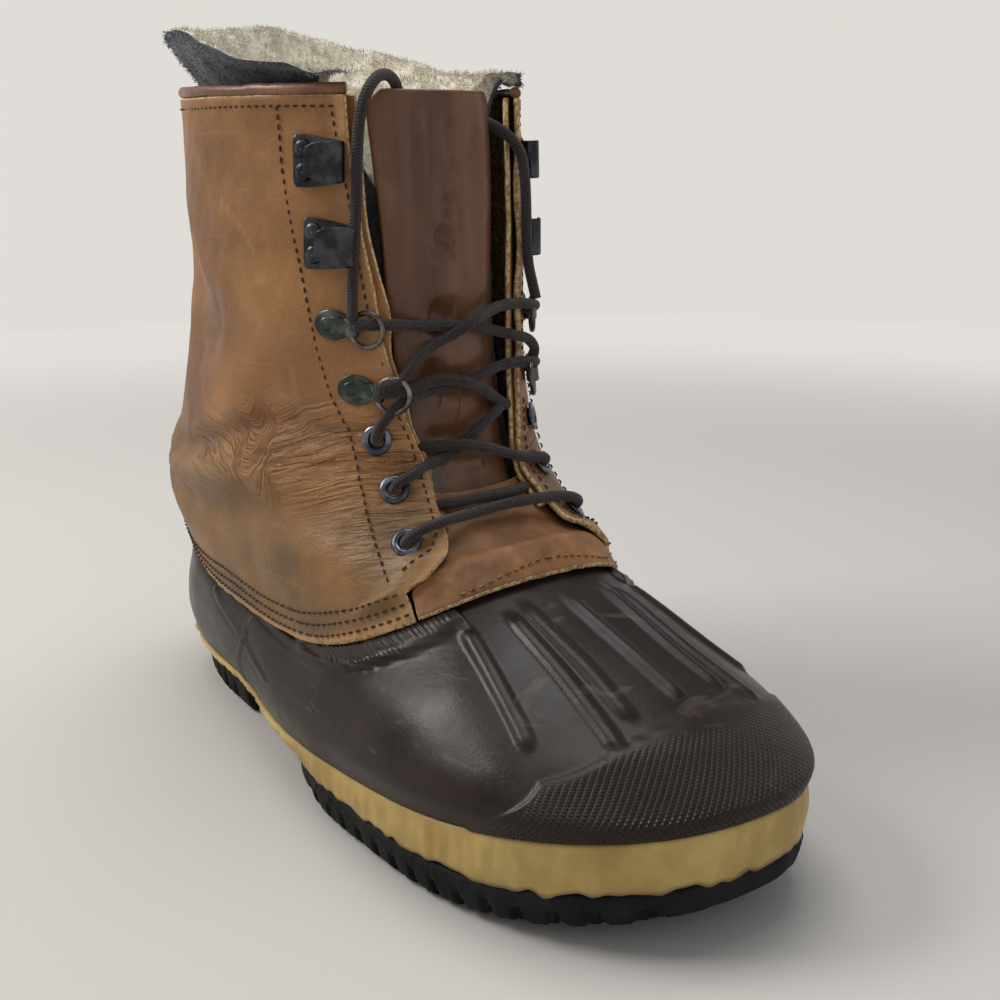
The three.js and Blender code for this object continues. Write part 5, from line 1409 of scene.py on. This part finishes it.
# Rows along the lower edge: (turn, rise), the rise being in shares of the row's height over the edge
LOW_EDGE = [(0.02, 0.10), (0.10, 0.08), (0.16, 0.14), (0.1987, 0.30), (0.2079, 0.34), (0.2355, 0.20),
            (0.2559, 0.12), (0.2983, 0.10), (0.3445, 0.02), (0.3736, -0.02)]
LOW_ROWS = [[(low + rise * (low - 4.95) * 1.6, t) for t, rise in LOW_EDGE] for low in (5.30, 5.18, 5.07)]
BACK_ROWS = [[(row[0][0], t) for t in np.linspace(-0.02, 0.02, 8)] for row in LOW_ROWS]
VAMP_ROWS = [
    [(5.06, .42), (5.061, .4403), (5.107, .4733), (5.15, .5), (5.107, .5267), (5.061, .5597), (5.06, .58)]]
dark_rows = []
for rows in (EYESTAY, EDGE_ROW, LOW_ROWS):
    dark_rows += rows + mirrored(rows)
rest(stitches("stitches", dark_rows + COLLAR_ROW + BACK_ROWS, MAT["thread"], 2.2), "lace")
rest(stitches("vamp stitches", VAMP_ROWS, MAT["thread_light"], 2.3), "lace")

# A pale round floor that fades into the backdrop, with no wall that could hide another view
BACKDROP = (0.80, 0.77, 0.73, 1)
floor = bpy.data.meshes.new("floor")
floor_radius, floor_sides = 1.4, 96
turns = [2 * math.pi * i / floor_sides for i in range(floor_sides)]
floor.from_pydata([(floor_radius * math.cos(a), floor_radius * math.sin(a), 0) for a in turns], [],
                  [list(range(floor_sides))])
floor_o = bpy.data.objects.new("floor", floor)
bpy.context.scene.collection.objects.link(floor_o)
ground = bpy.data.materials.new("floor")
ground.use_nodes = True
nodes, links = ground.node_tree.nodes, ground.node_tree.links
coord = nodes.new("ShaderNodeTexCoord")
far = nodes.new("ShaderNodeVectorMath")
far.operation = "LENGTH"
fade = nodes.new("ShaderNodeMapRange")
fade.interpolation_type = "SMOOTHSTEP"
for i, v in ((1, 0.5), (2, 1.2), (3, 0.0), (4, 1.0)):
    fade.inputs[i].default_value = v
tone = nodes.new("ShaderNodeMix")
tone.data_type = "RGBA"
tone.inputs[6].default_value = (0.53, 0.515, 0.49, 1)
tone.inputs[7].default_value = (0, 0, 0, 1)
links.new(coord.outputs["Object"], far.inputs[0])
links.new(far.outputs["Value"], fade.inputs[0])
links.new(fade.outputs[0], tone.inputs[0])
surface = nodes["Principled BSDF"]
links.new(tone.outputs[2], surface.inputs["Base Color"])
links.new(fade.outputs[0], surface.inputs["Emission Strength"])
surface.inputs["Emission Color"].default_value = BACKDROP
surface.inputs["Roughness"].default_value = 0.8
surface.inputs["Specular IOR Level"].default_value = 0.1
floor.materials.append(ground)


def area(name, where, aim, size_x, size_y, watts, color=(1, 1, 1)):
    data = bpy.data.lights.new(name, "AREA")
    data.shape = "RECTANGLE"
    data.size, data.size_y = size_x, size_y
    data.energy = watts
    data.color = color
    o = bpy.data.objects.new(name, data)
    o.location = where
    o.rotation_euler = (Vector(aim) - Vector(where)).to_track_quat("-Z", "Y").to_euler()
    bpy.context.scene.collection.objects.link(o)


# Light
area("key", (-0.75, -0.85, 1.15), (-0.05, 0, 0.2), 0.7, 0.6, 17, (1.0, 0.97, 0.93))
area("top", (-0.15, 0.1, 1.3), (-0.05, 0, 0.2), 0.8, 0.8, 9)
area("fill", (1.25, -0.2, 0.8), (0, 0, 0.12), 0.8, 0.8, 1.6, (0.93, 0.96, 1.0))
world = bpy.data.worlds.new("world")
world.use_nodes = True
nodes, links = world.node_tree.nodes, world.node_tree.links
direction = nodes.new("ShaderNodeTexCoord")
parts = nodes.new("ShaderNodeSeparateXYZ")
band = nodes.new("ShaderNodeMapRange")
for i, v in ((1, 0.12), (2, 0.34), (3, 1.0), (4, 0.0)):
    band.inputs[i].default_value = v
sky = nodes.new("ShaderNodeMix")
sky.data_type = "RGBA"
sky.inputs[6].default_value = (0.38, 0.38, 0.39, 1)
sky.inputs[7].default_value = BACKDROP
links.new(direction.outputs["Generated"], parts.inputs[0])
links.new(parts.outputs["Z"], band.inputs[0])
links.new(band.outputs[0], sky.inputs[0])
links.new(sky.outputs[2], nodes["Background"].inputs[0])
bpy.context.scene.world = world
bpy.context.scene.view_settings.view_transform = "Standard"
bpy.context.scene.view_settings.exposure = -0.1
